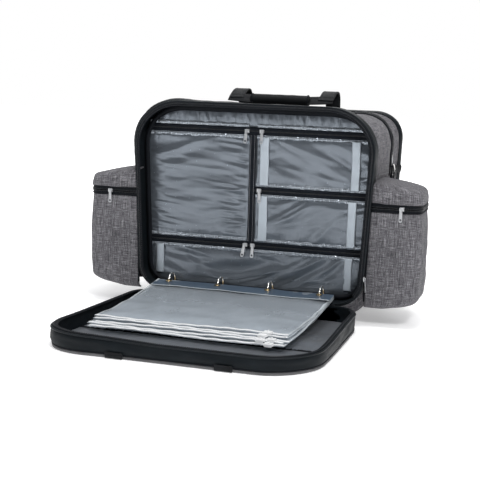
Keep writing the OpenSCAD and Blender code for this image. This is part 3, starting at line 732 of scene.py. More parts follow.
satinPanel("pocketBig", "pocket_left", None, splitLeft, bands["low"][1][2], bands["top"][0][2], bigLook, 31)
satinPanel("pocketUpper", "pocket_upper_right", splitRight, None, bands["right"][1][2], bands["top"][0][2], smallLook, 41)
satinPanel("pocketLower", "pocket_lower_right", splitRight, None, bands["low"][1][2], bands["right"][0][2], lowLook, 51)
satinPanel("pocketFoot", "pocket_bottom", None, None, rim["low"] + 0.004, bands["low"][0][2], footLook, 61)

# flat lining behind everything, closing the frame's back
liningRows = []
for scale in (1.0, 0.9, 0.75, 0.5, 0.25, 0.0):
    loop = outline(rim, rim["wall"])
    centre = np.array([0, 0.2])
    liningRows.append(upright(centre + (loop - centre) * scale, faceY + 0.0056))
liningBack = gridPiece("liningBack", np.stack(liningRows), satinDark, "bag", uv=np.stack(liningRows)[..., [0, 2]],
                       flip=True)
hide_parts("organiser_panel")


def bandTape(name, cadNode, a, b, width, vertical=False, seed=1):
    # a zip band: two tapes with the coil between them; an upright band gets no coil
    n = max(int(np.linalg.norm(np.subtract(b, a)) / 0.002), 8)
    along = np.linspace(a, b, n)
    rows = []
    for f, dip in ((-0.5, 0.0012), (-0.46, 0.0002), (-0.30, 0.0), (-0.14, 0.0002), (-0.05, 0.0010), (0.05, 0.0010),
                   (0.14, 0.0002), (0.30, 0.0), (0.46, 0.0002), (0.5, 0.0012)):
        wave = 0.00035 * latticeNoise(np.arange(n) / 6, f * 3, seed)
        y = bandY + 0.0004 + dip + wave
        if vertical:
            rows.append(np.stack([along[:, 0] + f * width, y, along[:, 1]], 1))
        else:
            rows.append(np.stack([along[:, 0], y, along[:, 1] + f * width], 1))
    piece = gridPiece(name, np.stack(rows), navyTape, "bag", flip=not vertical)
    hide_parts(cadNode)
    if not vertical:
        path = np.stack([along[:, 0], np.full(n, bandY + 0.0012), along[:, 1]], 1)
        blockRow(name + "Coil", path, (0, -1, 0), (0.0014, 0.0030, 0.0010), 0.0021, coilBlack, "bag")
    return piece


def hemStrip(name, a, b, width, seed, vertical=False):
    # puckered, stitched edge of a pocket beside a zip; its satin is painted lighter than the pocket's, a painted
    # highlight on the puckers
    n = max(int(np.linalg.norm(np.subtract(b, a)) / 0.0010), 8)
    along = np.linspace(a, b, n)
    run = np.linspace(0, np.linalg.norm(np.subtract(b, a)), n)
    rows = []
    for f in np.linspace(-0.5, 0.5, 9):
        pucker = 0.0006 * latticeNoise(run / 0.0034, f * 1.2, seed) + 0.0007 * latticeNoise(run / 0.0080, f, seed + 1)
        y = faceY - 0.0002 - 0.0010 * math.cos(math.pi * f) - pucker
        if vertical:
            rows.append(np.stack([along[:, 0] + f * width, y, along[:, 1]], 1))
        else:
            rows.append(np.stack([along[:, 0], y, along[:, 1] + f * width], 1))
    gridPiece(name, np.stack(rows), satinHemLit, "bag", flip=not vertical)
    for k, f in enumerate((-0.22, 0.24)):
        offset = (f * width, 0) if vertical else (0, f * width)
        path = np.stack([along[:, 0] + offset[0], np.full(n, faceY - 0.0016), along[:, 1] + offset[1]], 1)
        blockRow(f"{name}Stitch{k}", path, (0, -1, 0), (0.0020, 0.0006, 0.0005), 0.0032, darkThread, "bag")


bandWidth = bands["top"][1][2] - bands["top"][0][2]
hem = {"width": 0.0062, "away": 0.0033}
zipLines = []
for tag, cadNode in (("top", "zip_band_top"), ("low", "zip_band_low"), ("right", "zip_band_right")):
    low, high = bands[tag]
    z = (low[2] + high[2]) / 2
    right = float(halfWidth(np.array([z]), rim["wall"] + 0.001)[0])
    left = splitRight - 0.004 if tag == "right" else -right
    bandTape("band" + tag.title(), cadNode, (left, z), (right, z), bandWidth, seed=len(zipLines))
    for k, part in enumerate(((-1, -1), (-1, 1), (1, -1), (1, 1))):
        place, level = part
        if tag == "right" and place < 0:
            continue
        x0 = left + 0.003 if place < 0 else splitRight + 0.001
        x1 = splitLeft - 0.001 if place < 0 else right - 0.003
        hemStrip(f"hem{tag.title()}{k}", (x0, z + level * (bandWidth / 2 + hem["away"])),
                 (x1, z + level * (bandWidth / 2 + hem["away"])), hem["width"], 70 + k)
    zipLines.append(z)
uprightX = (splitLeft + splitRight) / 2
bandTape("bandUpright", "upright_binding", (uprightX, bands["upright"][0][2]), (uprightX, bands["upright"][1][2]),
         0.011, vertical=True, seed=9)
for k, shift in enumerate((-0.0035, 0.0035)):
    path = np.array([(uprightX + shift, bandY + 0.0003, bands["upright"][0][2] + 0.002),
                     (uprightX + shift, bandY + 0.0003, bands["upright"][1][2] - 0.002)])
    blockRow(f"bindingStitch{k}", path, (0, -1, 0), (0.0024, 0.0006, 0.0004), 0.0036, greyThread, "bag")

# pale pleats at the sides of the right and bottom pockets
pleats = [("A", splitRight + 0.0155, 0.016, bands["right"][1][2], bands["top"][0][2]),
          ("B", 0.177, 0.015, bands["right"][1][2], bands["top"][0][2]),
          ("C", splitRight + 0.0150, 0.016, bands["low"][1][2], bands["right"][0][2]),
          ("D", 0.174, 0.015, bands["low"][1][2], bands["right"][0][2]),
          ("E", -0.1765, 0.015, 0.056, bands["low"][0][2]), ("F", 0.171, 0.014, 0.052, bands["low"][0][2])]
for tag, x, width, z0, z1 in pleats:
    n = int((z1 - z0) / 0.0015)
    z = np.linspace(z0 + 0.003, z1 - 0.003, n)
    lift = 0.0046 if tag in "BD" else 0.0022  # those that a pull tab passes lie lower
    rows = []
    for f in np.linspace(-0.5, 0.5, 8):
        y = faceY - lift - 0.0007 * math.cos(math.pi * f * 0.9) - 0.0004 * latticeNoise(z / 0.012, f, ord(tag))
        rows.append(np.stack([x + f * width + 0.0012 * latticeNoise(z / 0.03, 0.5, ord(tag) + 2), y, z], 1))
    gridPiece("pleat" + tag, np.stack(rows), pleatCloth, "bag", thick=0.0006)

# black binding where the lining meets the frame
bindingRows = []
for inset, lift in ((0.0030, 0.0), (0.0045, 0.0040), (0.0085, 0.0046), (0.0110, 0.0010)):
    loop = outline(rim, inset)
    # across the top the binding's inner edge reaches up to 6 mm lower: partly real binding, partly a dark band of
    # painted shade under the frame's top
    bindingShadeDrop = np.clip((loop[:, 1] - 0.335) / 0.03, 0, 1) * (0.006 if inset > 0.008 else 0)
    loop = np.stack([loop[:, 0], loop[:, 1] - bindingShadeDrop], 1)
    bindingRows.append(upright(loop, faceY - 0.0002 - lift))
gridPiece("liningBinding", np.stack(bindingRows), tape, "bag", flip=True)
print("organiser made")

# sliders and pull tabs
pull = {"tab": 0.0215, "width": 0.0062, "eye": 0.0019, "thick": 0.0011}


def boxShape(points, faces, low, high, taper=1.0):
    # adds a block with a tapered top to a list of points and faces; the corners are low and high
    base = len(points)
    mid = [(low[k] + high[k]) / 2 for k in range(3)]
    for k in range(8):
        corner = [(low, high)[(k >> j) & 1][j] for j in range(3)]
        if k & 4:
            corner = [mid[0] + (corner[0] - mid[0]) * taper, mid[1] + (corner[1] - mid[1]) * taper, corner[2]]
        points.append(corner)
    for quad in ((0, 2, 3, 1), (4, 5, 7, 6), (0, 1, 5, 4), (2, 6, 7, 3), (0, 4, 6, 2), (1, 3, 7, 5)):
        faces.append([base + k for k in quad])


def sliderPiece(name, cadNode, body, place, along, out, material=None, tabTurn=0.0, cordPull=False):
    # local x runs along the zip, z stands off the tape; the tab hangs back along the zip
    material = material or zinc
    along, out = Vector(along).normalized(), Vector(out).normalized()
    side = out.cross(along)
    turn = Matrix((along, side, out)).transposed().to_4x4()
    points, faces = [], []
    boxShape(points, faces, (-0.0042, -0.0030, 0.0), (0.0042, 0.0030, 0.0010), 0.92)
    boxShape(points, faces, (-0.0026, -0.0034, -0.0008), (0.0042, 0.0034, 0.0), 1.0)
    boxShape(points, faces, (-0.0030, -0.0009, 0.0010), (-0.0018, 0.0009, 0.0024), 1.0)
    boxShape(points, faces, (0.0012, -0.0009, 0.0010), (0.0024, 0.0009, 0.0024), 1.0)
    boxShape(points, faces, (-0.0030, -0.0009, 0.0022), (0.0024, 0.0009, 0.0031), 0.9)
    slider = addPiece(name, points, faces, material, None, smooth=False)
    bevel = slider.modifiers.new("soft", "BEVEL")
    bevel.width = 0.0003
    bevel.segments = 2
    slider.matrix_world = Matrix.Translation(place) @ turn
    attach(slider, body)
    if cadNode:
        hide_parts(cadNode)
    # the tab: a flat plate with an eye near one end
    tabPoints, outer, holeAt = [], [], pull["tab"] - 0.0040
    for k in range(28):
        a = 2 * math.pi * k / 28
        x = pull["tab"] / 2 * (1 + math.copysign(abs(math.cos(a)) ** 0.35, math.cos(a)))
        y = pull["width"] / 2 * math.copysign(abs(math.sin(a)) ** 0.5, math.sin(a)) * (0.72 + 0.28 * x / pull["tab"])
        outer.append((x, y))
    shape = bmesh.new()
    eye = [(holeAt + pull["eye"] * math.cos(2 * math.pi * k / 12), pull["eye"] * math.sin(2 * math.pi * k / 12))
           for k in range(12)]
    rings = []
    for loop in (outer, eye):
        verts = [shape.verts.new((x, y, 0)) for x, y in loop]
        rings += [shape.edges.new((verts[k], verts[(k + 1) % len(verts)])) for k in range(len(verts))]
    bmesh.ops.triangle_fill(shape, edges=rings, use_beauty=True)
    made = bmesh.ops.extrude_face_region(shape, geom=list(shape.faces))
    for element in made["geom"]:
        if isinstance(element, bmesh.types.BMVert):
            element.co.z += pull["thick"]
    bmesh.ops.recalc_face_normals(shape, faces=shape.faces)
    data = bpy.data.meshes.new(name + "Tab")
    shape.to_mesh(data)
    shape.free()
    data.materials.append(material)
    tab = bpy.data.objects.new(name + "Tab", data)
    bpy.context.scene.collection.objects.link(tab)
    bevel = tab.modifiers.new("soft", "BEVEL")
    bevel.width = 0.0002
    bevel.limit_method = "ANGLE"
    tilt = Matrix.Translation((-0.0008, 0, 0.0018)) @ Matrix.Rotation(tabTurn, 4, "Z") @ Matrix.Rotation(math.radians(3), 4, "Y") \
        @ Matrix.Rotation(math.pi, 4, "Z")
    tab.matrix_world = Matrix.Translation(place) @ turn @ tilt
    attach(tab, body)
    if cordPull:
        n = 24
        hang = np.stack([np.zeros(n), np.linspace(0, 0.0012, n), np.linspace(0, -0.038, n)], 1)
        for k, shift in enumerate((-0.0011, 0.0011)):
            start = np.array(tab.matrix_world @ Vector((holeAt, shift, pull["thick"])))
            tubePiece(f"{name}Cord{k}", start + hang, 0.0011, tape, body, (1, 0, 0))
    return slider


def boxMiddle(name):
    low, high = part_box(name)
    return (low + high) / 2


zipOut = (0, -1, 0)
# name, distance from the binding in mm, height, direction along the zip, how the tab hangs
sliderRows = [("slider_top_left", -11, zipLines[0], (1, 0, 0), 1.50), ("slider_top_right", 16, zipLines[0], (-1, 0, 0), -1.62),
              ("slider_right", 14, zipLines[2], (-1, 0, 0), -1.52), ("slider_low_left", -9, zipLines[1], (1, 0, 0), 1.40),
              ("slider_low_right", 5, zipLines[1], (-1, 0, 0), -1.62)]
middleX = -0.007
for name, shift, z, along, tabTurn in sliderRows:
    place = Vector((middleX + shift / 1000, bandY - 0.0002, z))
    sliderPiece(name.title().replace("_", ""), name, name, place, along, zipOut, tabTurn=tabTurn)
print("sliders made")

# ring plate, rings and pouches
plateLow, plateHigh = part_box("ring_plate")
frame["nodes"]["ring_plate"].data.materials.clear()
frame["nodes"]["ring_plate"].data.materials.append(steel)
for nodeName in ("binder_rings",):
    cad = frame["nodes"][nodeName]
    cad.data.materials.clear()
    cad.data.materials.append(ringNickel)
    cad.data.polygons.foreach_set("use_smooth", [True] * len(cad.data.polygons))

pouchSpec = {"count": 5, "pitch": 0.092, "first": -0.146, "skew": 0.016, "eyelet": 0.0048}
pouchBoxes = [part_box(f"pouch_{k + 1}") for k in range(pouchSpec["count"])]


def pouchHeight(k, x, y):  # upper face of a filled pouch: it lies in a soft heap, deeper towards the near end
    low, high = pouchBoxes[k]
    v = (high[1] - y) / (high[1] - low[1])
    u = (x - low[0]) / (high[0] - low[0])
    puff = 0.0022 * np.sin(np.pi * np.clip(u, 0, 1)) * np.sin(np.pi * np.clip(v, 0, 1)) ** 0.7
    return puff + 0.0011 * crease(x / 0.075, y / 0.045, 100 + k) + 0.0005 * latticeNoise(x / 0.012, y / 0.020, 120 + k)


def pouchPoint(k, u, v):  # u runs left to right, v from the rings to the near end
    low, high = pouchBoxes[k]
    x = low[0] + (high[0] - low[0]) * u
    y = high[1] + (low[1] - high[1]) * v
    z = high[2] + (y - high[1]) * 0.0873 - 0.0045 * np.sin(np.pi * np.clip(v, 0, 1)) - 0.001
    lean = -pouchSpec["skew"] * v ** 1.2 * (1 + 0.25 * math.sin(k * 2.1)) + 0.0016 * math.sin(k * 3.3) * v
    z = z + pouchHeight(k, x, y) * (1 - 0.85 * np.clip((v - 0.86) / 0.10, 0, 1)) + 0.0012 * np.sin(u * 7 + k * 2.2) * v ** 6
    return np.stack(np.broadcast_arrays(x + lean, y, z), -1)


for k in range(pouchSpec["count"]):
    us, vs = np.meshgrid(np.linspace(0, 1, 90), np.linspace(0, 1, 80), indexing="ij")
    grid = pouchPoint(k, us, vs)
    pouch = gridPiece(f"pouch{k + 1}", grid, vinyl, "pouches", uv=grid[..., :2], flip=True)
    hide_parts(f"pouch_{k + 1}")
    # welded sides
    for side, u in (("L", (0.0, 0.011)), ("R", (0.989, 1.0))):
        us, vs = np.meshgrid(np.linspace(*u, 4), np.linspace(0, 1, 80), indexing="ij")
        edge = pouchPoint(k, us, vs) + (0, 0, 0.0004)
        gridPiece(f"pouch{k + 1}Weld{side}", edge, pouchEdge, "pouches", uv=edge[..., :2], flip=True)
    # press zip: two white ridges and a flat lip
    u = np.linspace(0.004, 0.996, 120)
    for j, (back, radius) in enumerate(((0.0030, 0.0011), (0.0070, 0.0007))):
        ridge = pouchPoint(k, u, 1 - back / 0.26)
        ridge[:, 2] += 0.0009 + 0.0004 * np.sin(u * 60 + k)
        tubePiece(f"pouch{k + 1}Ridge{j}", ridge, radius, whitePlastic, "pouches", (0, 0, 1), sides=7)
    us, vs = np.meshgrid(np.linspace(0, 1, 90), np.linspace(0.985, 1.0, 4), indexing="ij")
    lip = pouchPoint(k, us, vs) + (0, 0, 0.0008)
    gridPiece(f"pouch{k + 1}Lip", lip, lipFilm, "pouches", uv=lip[..., :2], flip=True)
    # slider: a saddle over the ridges
    sliderLow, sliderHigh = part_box(f"pouch_slider_{k + 1}")
    x = (sliderLow[0] + sliderHigh[0]) / 2 - 0.008 * ((k * 3) % 5) / 2 + 0.006
    at = pouchPoint(k, (x - pouchBoxes[k][0][0]) / (pouchBoxes[k][1][0] - pouchBoxes[k][0][0]), 0.988)
    points, faces = [], []
    boxShape(points, faces, (-0.0080, -0.0056, 0.0002), (0.0080, 0.0048, 0.0042), 0.8)
    boxShape(points, faces, (-0.0062, -0.0072, -0.0014), (0.0062, -0.0052, 0.0036), 0.9)
    boxShape(points, faces, (-0.0012, -0.0046, 0.0038), (0.0012, 0.0038, 0.0056), 0.8)
    saddle = addPiece(f"pouchSlider{k + 1}", np.array(points) + at + (0, -0.0015, 0), faces, whitePlastic, f"pouch_slider_{k + 1}",
                      smooth=False)
    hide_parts(f"pouch_slider_{k + 1}")
    bevel = saddle.modifiers.new("soft", "BEVEL")
    bevel.width = 0.0007
    bevel.segments = 2

headerLow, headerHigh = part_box("pouch_header")
us, vs = np.meshgrid(np.linspace(0, 1, 120), np.linspace(0, 1, 14), indexing="ij")
headerX = headerLow[0] + (headerHigh[0] - headerLow[0]) * us
headerY = headerHigh[1] + (headerLow[1] - headerHigh[1]) * vs
headerZ = headerHigh[2] - 0.0002 - 0.0873 * (headerHigh[1] - headerY) + 0.0009 * crease(headerX / 0.08, vs / 1.2, 140) - 0.001
headerGrid = np.stack([headerX, headerY, headerZ], -1)
header = gridPiece("pouchHeader", headerGrid, headerFilm, "pouches", uv=headerGrid[..., :2],
                   flip=True)
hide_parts("pouch_header")
tubePiece("headerEdge", headerGrid[:, -1] + (0, 0, 0.0003), 0.0007, pouchEdge, "pouches", (0, 0, 1), sides=6)
for k in range(4):
    x = pouchSpec["first"] + pouchSpec["pitch"] * k
    angle = np.linspace(0, 2 * np.pi, 24, endpoint=False)
    eye = np.stack([x + pouchSpec["eyelet"] * np.cos(angle), -0.1165 + pouchSpec["eyelet"] * np.sin(angle),
                    np.full(24, headerHigh[2] - 0.0005)], 1)
    tubePiece(f"eyelet{k}", eye, 0.0011, brass, "pouches", (0, 0, 1), closed=True, squashed=0.6)
for k in range(2):  # rivets that hold the ring plate
    x = plateLow[0] + 0.012 + k * (plateHigh[0] - plateLow[0] - 0.024)
    points, faces = [], []
    boxShape(points, faces, (x - 0.0030, -0.0905, plateHigh[2] - 0.0002), (x + 0.0030, -0.0845, plateHigh[2] + 0.0012), 0.6)
    rivet = addPiece(f"plateRivet{k}", points, faces, nickel, "bag", smooth=False)
    rivet.modifiers.new("round", "SUBSURF").levels = 2
print("pouches made")

# flap
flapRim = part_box("flap_gusset")[1][2]
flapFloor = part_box("flap_gusset")[0][2]
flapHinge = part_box("flap_gusset")[1][1]
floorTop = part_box("flap_panel")[1][2]


def keepAhead(grid):  # the hinge side stays clear of the front frame
    grid = np.array(grid)
    grid[..., 1] = np.minimum(grid[..., 1], flapHinge)
    return grid


flapGusset = gridPiece("flapGusset", keepAhead(gussetGrid(flapRim - 0.0010, flapFloor, True, 17)), black, "flap")
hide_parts("flap_gusset")
flapZip = zipRing("Flap", True, flapRim - 0.0005, -1, "flap")
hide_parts("flap_zip_tape")
for pieceName in ("edgePipingFlap",):
    piped = bpy.data.objects[pieceName]
    coords3 = np.array([v.co for v in piped.data.vertices])
    coords3[:, 1] = np.minimum(coords3[:, 1], flapHinge)
    piped.data.vertices.foreach_set("co", coords3.ravel())


def flapDisc(level, inset, wave, seed, up=1):
    loop = outline(rim, inset)
    centre = np.array([0.0, 0.20])
    rows = []
    for scale in np.r_[1.0, 0.985, 0.96, np.linspace(0.92, 0.0, 26)]:
        ring = laid(centre + (loop - centre) * scale, level)
        soft = np.clip((1 - scale) / 0.05, 0, 1)
        ring[:, 2] += up * soft * wave * crease(ring[:, 0] / 0.09, ring[:, 1] / 0.05, seed)
        ring[:, 2] += up * soft * wave * 0.4 * latticeNoise(ring[:, 0] / 0.02, ring[:, 1] / 0.02, seed + 1)
        rows.append(ring)
    return keepAhead(np.stack(rows))


skinGrid = flapDisc(flapFloor - 0.0002, 0.0, 0.0005, 23)
flapSkin = gridPiece("flapSkin", skinGrid, heather, "flap", uv=skinGrid[..., :2], flip=True)
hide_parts("flap_panel")
innerGrid = flapDisc(floorTop, rim["wall"], 0.0010, 27)
flapLining = gridPiece("flapLining", innerGrid, satinDark, "flap", uv=innerGrid[..., :2])
tubePiece("flapBasePiping", keepAhead(laid(outline(rim, 0.0015), 0.0029))[:-1], 0.0027, silverPiping, "flap", (0, 0, 1), closed=True)
tubePiece("flapSeam", keepAhead(laid(outline(rim, -0.0004), flapFloor + 0.0012))[:-1], 0.0011, tape, "flap", (0, 0, 1),
          closed=True)

flapRows = [("Near", "flap_pocket_near", 0.2551, 0.3590, 81), ("Far", "flap_pocket_far", 0.1622, 0.2535, 91)]
flapLook = {"full": 0.0026, "gather": 0.0014, "gatherReach": 0.022, "sides": 0.0016, "sideReach": 0.03,
            "folds": [(0.0034, 0.12, 0.026, 0.3), (0.0014, 0.07, 0.014, -0.3)]}
for tag, cadNode, low, high, seed in flapRows:
    satinPanel("flapPocket" + tag, cadNode, None, None, low, high, flapLook, seed, satinDark, 0.0020, floorTop + 0.0004, "flap")
    # gathered elastic at the mouth, and a sewn line down the middle
    reach = float(halfWidth(np.array([high - 0.004]), 0.006)[0])
    run = np.linspace(-reach, reach, 300)
    rows = []
    for f, lift in ((-0.0055, 0.0008), (-0.005, 0.0026), (0.0, 0.0034), (0.0045, 0.0026), (0.005, 0.0006)):
        pucker = 0.0007 * latticeNoise(run / 0.0032, f * 200, seed + 3)
        rows.append(np.stack([run, rim["front"] - (high - 0.003 + f - rim["low"]) + 0 * run, floorTop + lift + pucker], 1))
    gridPiece("flapElastic" + tag, np.stack(rows), tape, "flap", flip=False)
    for shift in (-0.0025, 0.0025):
        path = np.array([(shift + 0.02, rim["front"] - (low + 0.004 - rim["low"]), floorTop + 0.0024),
                         (shift + 0.02, rim["front"] - (high - 0.010 - rim["low"]), floorTop + 0.0024)])
        blockRow(f"flapStitch{tag}{int(shift > 0)}", path, (0, 0, 1), (0.0026, 0.0007, 0.0006), 0.0038, greyThread, "flap")
flapSoft = {"skew": 0.012, "leftOut": 0.014, "rightIn": 0.010, "sag": 0.006}


def relaxFlap(points):  # an opened flap lies slack: it skews, one corner is pulled out and its near wall sags
    points = np.array(points)
    x, y, z = points[..., 0].copy(), points[..., 1].copy(), points[..., 2].copy()
    s = np.clip((flapHinge - y) / 0.33, 0, 1.02)
    near = np.clip((s - 0.62) / 0.38, 0, 1.1) ** 2
    left, right = np.clip((-x - 0.09) / 0.12, 0, 1.1) ** 2, np.clip((x - 0.09) / 0.12, 0, 1.1) ** 2
    points[..., 0] = x - flapSoft["skew"] * s ** 1.2 - flapSoft["leftOut"] * near * left - flapSoft["rightIn"] * near * right
    points[..., 1] = y - 0.012 * near * left + 0.003 * near * right - 0.006 * s ** 3
    sagHere = flapSoft["sag"] * np.clip((x + 0.17) / 0.15, 0, 1) * np.clip((s - 0.35) / 0.5, 0, 1)
    up = np.clip((z - 0.009) / (flapRim - 0.009), 0, 1.1)
    points[..., 2] = z - sagHere * up
    return points


for piece in list(bpy.context.scene.objects):
    if piece.type == "MESH" and piece.get("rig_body") == "flap" and "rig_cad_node" not in piece:
        flat = np.empty(len(piece.data.vertices) * 3, np.float32)
        piece.data.vertices.foreach_get("co", flat)
        piece.data.vertices.foreach_set("co", relaxFlap(flat.reshape(-1, 3)).ravel())
        piece.data.update()
print("flap made")


# webbing, handles and grips
def ribbonPiece(name, path, across, width, thick, body, material=None, stitched=True):
    # flat webbing along a path; across is its width direction, one for all or one for each point
    path = np.asarray(path, float)
    across = np.broadcast_to(np.asarray(across, float), path.shape)
    t = frames(path)
    across = across - t * np.sum(across * t, 1, keepdims=True)
    across = across / np.linalg.norm(across, axis=1, keepdims=True)
    off = np.cross(t, across)
    section = [(-0.5, -0.25), (-0.47, -0.5), (-0.2, -0.5), (0.2, -0.5), (0.47, -0.5), (0.5, -0.25), (0.5, 0.25), (0.47, 0.5),
               (0.2, 0.5), (-0.2, 0.5), (-0.47, 0.5), (-0.5, 0.25)]
    grid = np.stack([path + across * (a * width) + off * (b * thick) for a, b in section], 1)
    piece = gridPiece(name, grid, material or webbing, body, wrap=True)
    mesh = bmesh.new()
    mesh.from_mesh(piece.data)
    bmesh.ops.holes_fill(mesh, edges=[e for e in mesh.edges if e.is_boundary], sides=0)
    bmesh.ops.recalc_face_normals(mesh, faces=mesh.faces)
    mesh.to_mesh(piece.data)
    mesh.free()
    if stitched:
        for k, f in enumerate((-0.40, 0.40)):
            blockRow(f"{name}Stitch{k}", path + across * (f * width) + off * (thick * 0.5), off, (0.0024, 0.0005, 0.0003), 0.0034,
                     darkThread, body)
    return piece


def curved(points, step=0.003, rounds=2):  # corner cutting, then even spacing
    points = np.asarray(points, float)
    for _ in range(rounds):
        a, b = points[:-1], points[1:]
        points = np.concatenate([points[:1], np.stack([a * 0.75 + b * 0.25, a * 0.25 + b * 0.75], 1).reshape(-1, 3), points[-1:]])
    return resample(points, step)


def gripPiece(name, cadNode, body, low, high, flat, seed):
    # wrapped grip: padded tube with a seam and bound ends
    n = 60
    x = np.linspace(low[0], high[0], n)
    mid = (np.array(low) + np.array(high)) / 2
    radius = (high[1] - low[1]) / 2 * (1.15 if flat > 0.5 else 1.0)
    ends = np.minimum(1, 0.80 + 0.35 * np.minimum(x - low[0], high[0] - x) / 0.006)
    swell = radius * ends * (1 + 0.05 * latticeNoise(x / 0.012, 0.3, seed))
    path = np.stack([x, np.full(n, mid[1]), np.full(n, mid[2])], 1)
    grip = tubePiece(name, path, swell, gripCloth, body, (0, 0, 1), sides=20, squashed=flat)
    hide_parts(cadNode)
    for k, end in enumerate((low[0] + 0.004, high[0] - 0.004)):
        a = np.linspace(0, 2 * np.pi, 24, endpoint=False)
        height = np.maximum(mid[2] + radius * flat * 0.99 * np.sin(a), 0.0019)  # never under the floor
        hoop = np.stack([np.full(24, end), mid[1] + radius * 0.99 * np.cos(a), height], 1)
        tubePiece(f"{name}Binding{k}", hoop, 0.0016, tape, body, (1, 0, 0), closed=True)
    seam = np.array([(low[0] + 0.006, mid[1] - radius * 0.80, mid[2] + radius * flat * 0.58),
                     (high[0] - 0.006, mid[1] - radius * 0.80, mid[2] + radius * flat * 0.58)])
    blockRow(name + "Stitch", seam, (0, -0.8, 0.6), (0.0026, 0.0007, 0.0006), 0.0040, darkThread, body)


handle = {"half": 0.086, "web": 0.028, "thick": 0.0022, "apex": 0.389, "lift": 0.004}
gripLow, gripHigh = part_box("rear_handle_grip")
tabLow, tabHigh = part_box("rear_handle_tabs")
gripY = (gripLow[1] + gripHigh[1]) / 2
for side, tag in ((-1, "Left"), (1, "Right")):
    x = side * handle["half"]
    tabPath = [(x, tabHigh[1] + 0.0004, z) for z in np.linspace(tabLow[2], tabHigh[2] - 0.001, 20)]
    tab = ribbonPiece("handleTab" + tag, tabPath, (1, 0, 0), handle["web"], handle["thick"], "cover")
    if side < 0:
        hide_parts("rear_handle_tabs")
    boxZ, boxW = tabLow[2] + 0.005, handle["web"] / 2 - 0.004
    crossStitch = [(x - boxW, boxZ), (x + boxW, boxZ), (x + boxW, boxZ + 0.022), (x - boxW, boxZ + 0.022), (x - boxW, boxZ),
                   (x + boxW, boxZ + 0.022), (x + boxW, boxZ), (x - boxW, boxZ + 0.022)]
    blockRow("handleBox" + tag, [(a, tabHigh[1] + 0.0015, b) for a, b in crossStitch], (0, 1, 0), (0.0022, 0.0006, 0.0005), 0.0032,
             greyThread, "cover")
    armPath = curved([(x, tabHigh[1] + 0.0004, tabHigh[2] - 0.0012), (x, tabHigh[1] - 0.001, handle["apex"] - 0.010),
                      (x, 0.109, handle["apex"]), (x, 0.090, handle["apex"] - 0.001), (x, 0.070, 0.3790), (x * 0.99, 0.058, 0.3735)])
    arm = ribbonPiece("handleArm" + tag, armPath, (1, 0, 0), handle["web"], handle["thick"], "rear_handle")
    if side < 0:
        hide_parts("rear_handle_web")
    foldPath = curved([(x * 1.15, gripY + 0.004, 0.3750), (x * 0.90, gripY + 0.002, 0.3735), (side * 0.050, gripY, 0.3720)])
    ribbonPiece("handleFold" + tag, foldPath, (0, 0.8, 0.6), handle["web"] * 0.80, handle["thick"], "rear_handle", stitched=False)
lift = Vector((0, 0, handle["lift"]))
gripPiece("rearGrip", "rear_handle_grip", "rear_handle", gripLow + lift, gripHigh + lift, 1.0, 7)

webLow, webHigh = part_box("front_handle_web")
frontTabLow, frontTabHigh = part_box("front_handle_tabs")
for side, tag in ((-1, "Left"), (1, "Right")):
    x = side * handle["half"]
    tabPath = curved([(x, frontTabHigh[1] - 0.001, 0.0040), (x, -0.430, 0.0036), (x, -0.4525, 0.0016), (x, -0.4548, 0.0065)])
    tabPath = relaxFlap(tabPath)
    tab = ribbonPiece("frontTab" + tag, tabPath, (1, 0, 0), handle["web"], 0.0016, "flap")
    upPath = relaxFlap([(x, -0.4538, z) for z in np.linspace(0.0015, 0.0105, 8)])
    ribbonPiece("frontTabEnd" + tag, upPath, (1, 0, 0), handle["web"], 0.0020, "flap")
    if side < 0:
        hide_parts("front_handle_tabs")
    armPath = curved([(x, webLow[1] + 0.001, 0.0018), (x, -0.345, 0.0018), (x * 0.97, -0.327, 0.0018), (side * 0.057, -0.324, 0.0020)])
    arm = ribbonPiece("frontArm" + tag, armPath, np.where(np.arange(len(armPath))[:, None] < len(armPath) * 0.75, (1, 0, 0), (0.4, 0.9, 0)),
                      handle["web"], 0.0018, "front_handle", stitched=False)
    if side < 0:
        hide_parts("front_handle_web")
frontGripLow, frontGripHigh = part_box("front_handle_grip")
gripPiece("frontGrip", "front_handle_grip", "front_handle", frontGripLow, frontGripHigh, 0.135, 8)
print("handles made")

# side pockets
sideBag = {"bulge": 0.004, "foot": 0.013, "tape": 0.0065, "soft": 0.0022, "dome": 0.004, "edge": 0.008, "frontR": 0.022, "backR": 0.040}


def pocketPlan(inside, outside, front, back, n=(16, 10, 22, 14, 12)):
    # from the body along the front, round the outside and back to the body; x is measured outwards
    fr, br = sideBag["frontR"], sideBag["backR"]
    return np.concatenate([line((inside, front), (outside - fr, front), n[0]), arcPoints(outside - fr, front + fr, fr, -90, 0, n[1]),
                           line((outside, front + fr), (outside, back - br), n[2]), arcPoints(outside - br, back - br, br, 0, 90, n[3]),
                           line((outside - br, back), (inside, back), n[4]), [(inside, back)]])


def pocketRing(side, z, spread, seed, height):
    low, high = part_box("side_pocket_right")
    inside = 0.2045 + 0.0065 * np.clip((z - 0.03) / 0.22, 0, 1)
    plan = pocketPlan(inside, high[0] + spread, low[1] - spread * 0.8, high[1] + spread * 0.5)
    run = np.linspace(0, 1, len(plan))
    tangent = np.gradient(plan, axis=0)
    normal = np.stack([tangent[:, 1], -tangent[:, 0]], 1)
    normal /= np.linalg.norm(normal, axis=1, keepdims=True)
    held = np.clip(np.minimum(run, 1 - run) / 0.06, 0, 1)
    belly = sideBag["bulge"] * np.sin(np.pi * np.clip(height, 0, 1)) * np.sin(np.pi * run) ** 0.5
    soft = sideBag["soft"] * latticeNoise(run * 9, z * 28, seed) + 0.0006 * latticeNoise(run * 40, z * 120, seed + 1)
    soft = soft + 0.0012 * crease(run * 5, z * 34, seed + 2) * np.exp(-height * 3.0)
    plan = plan + normal * ((belly + soft * np.sin(np.pi * np.clip(height, 0.0, 1))) * held)[:, None]
    return np.stack([side * plan[:, 0], plan[:, 1], np.full(len(plan), z)], 1)


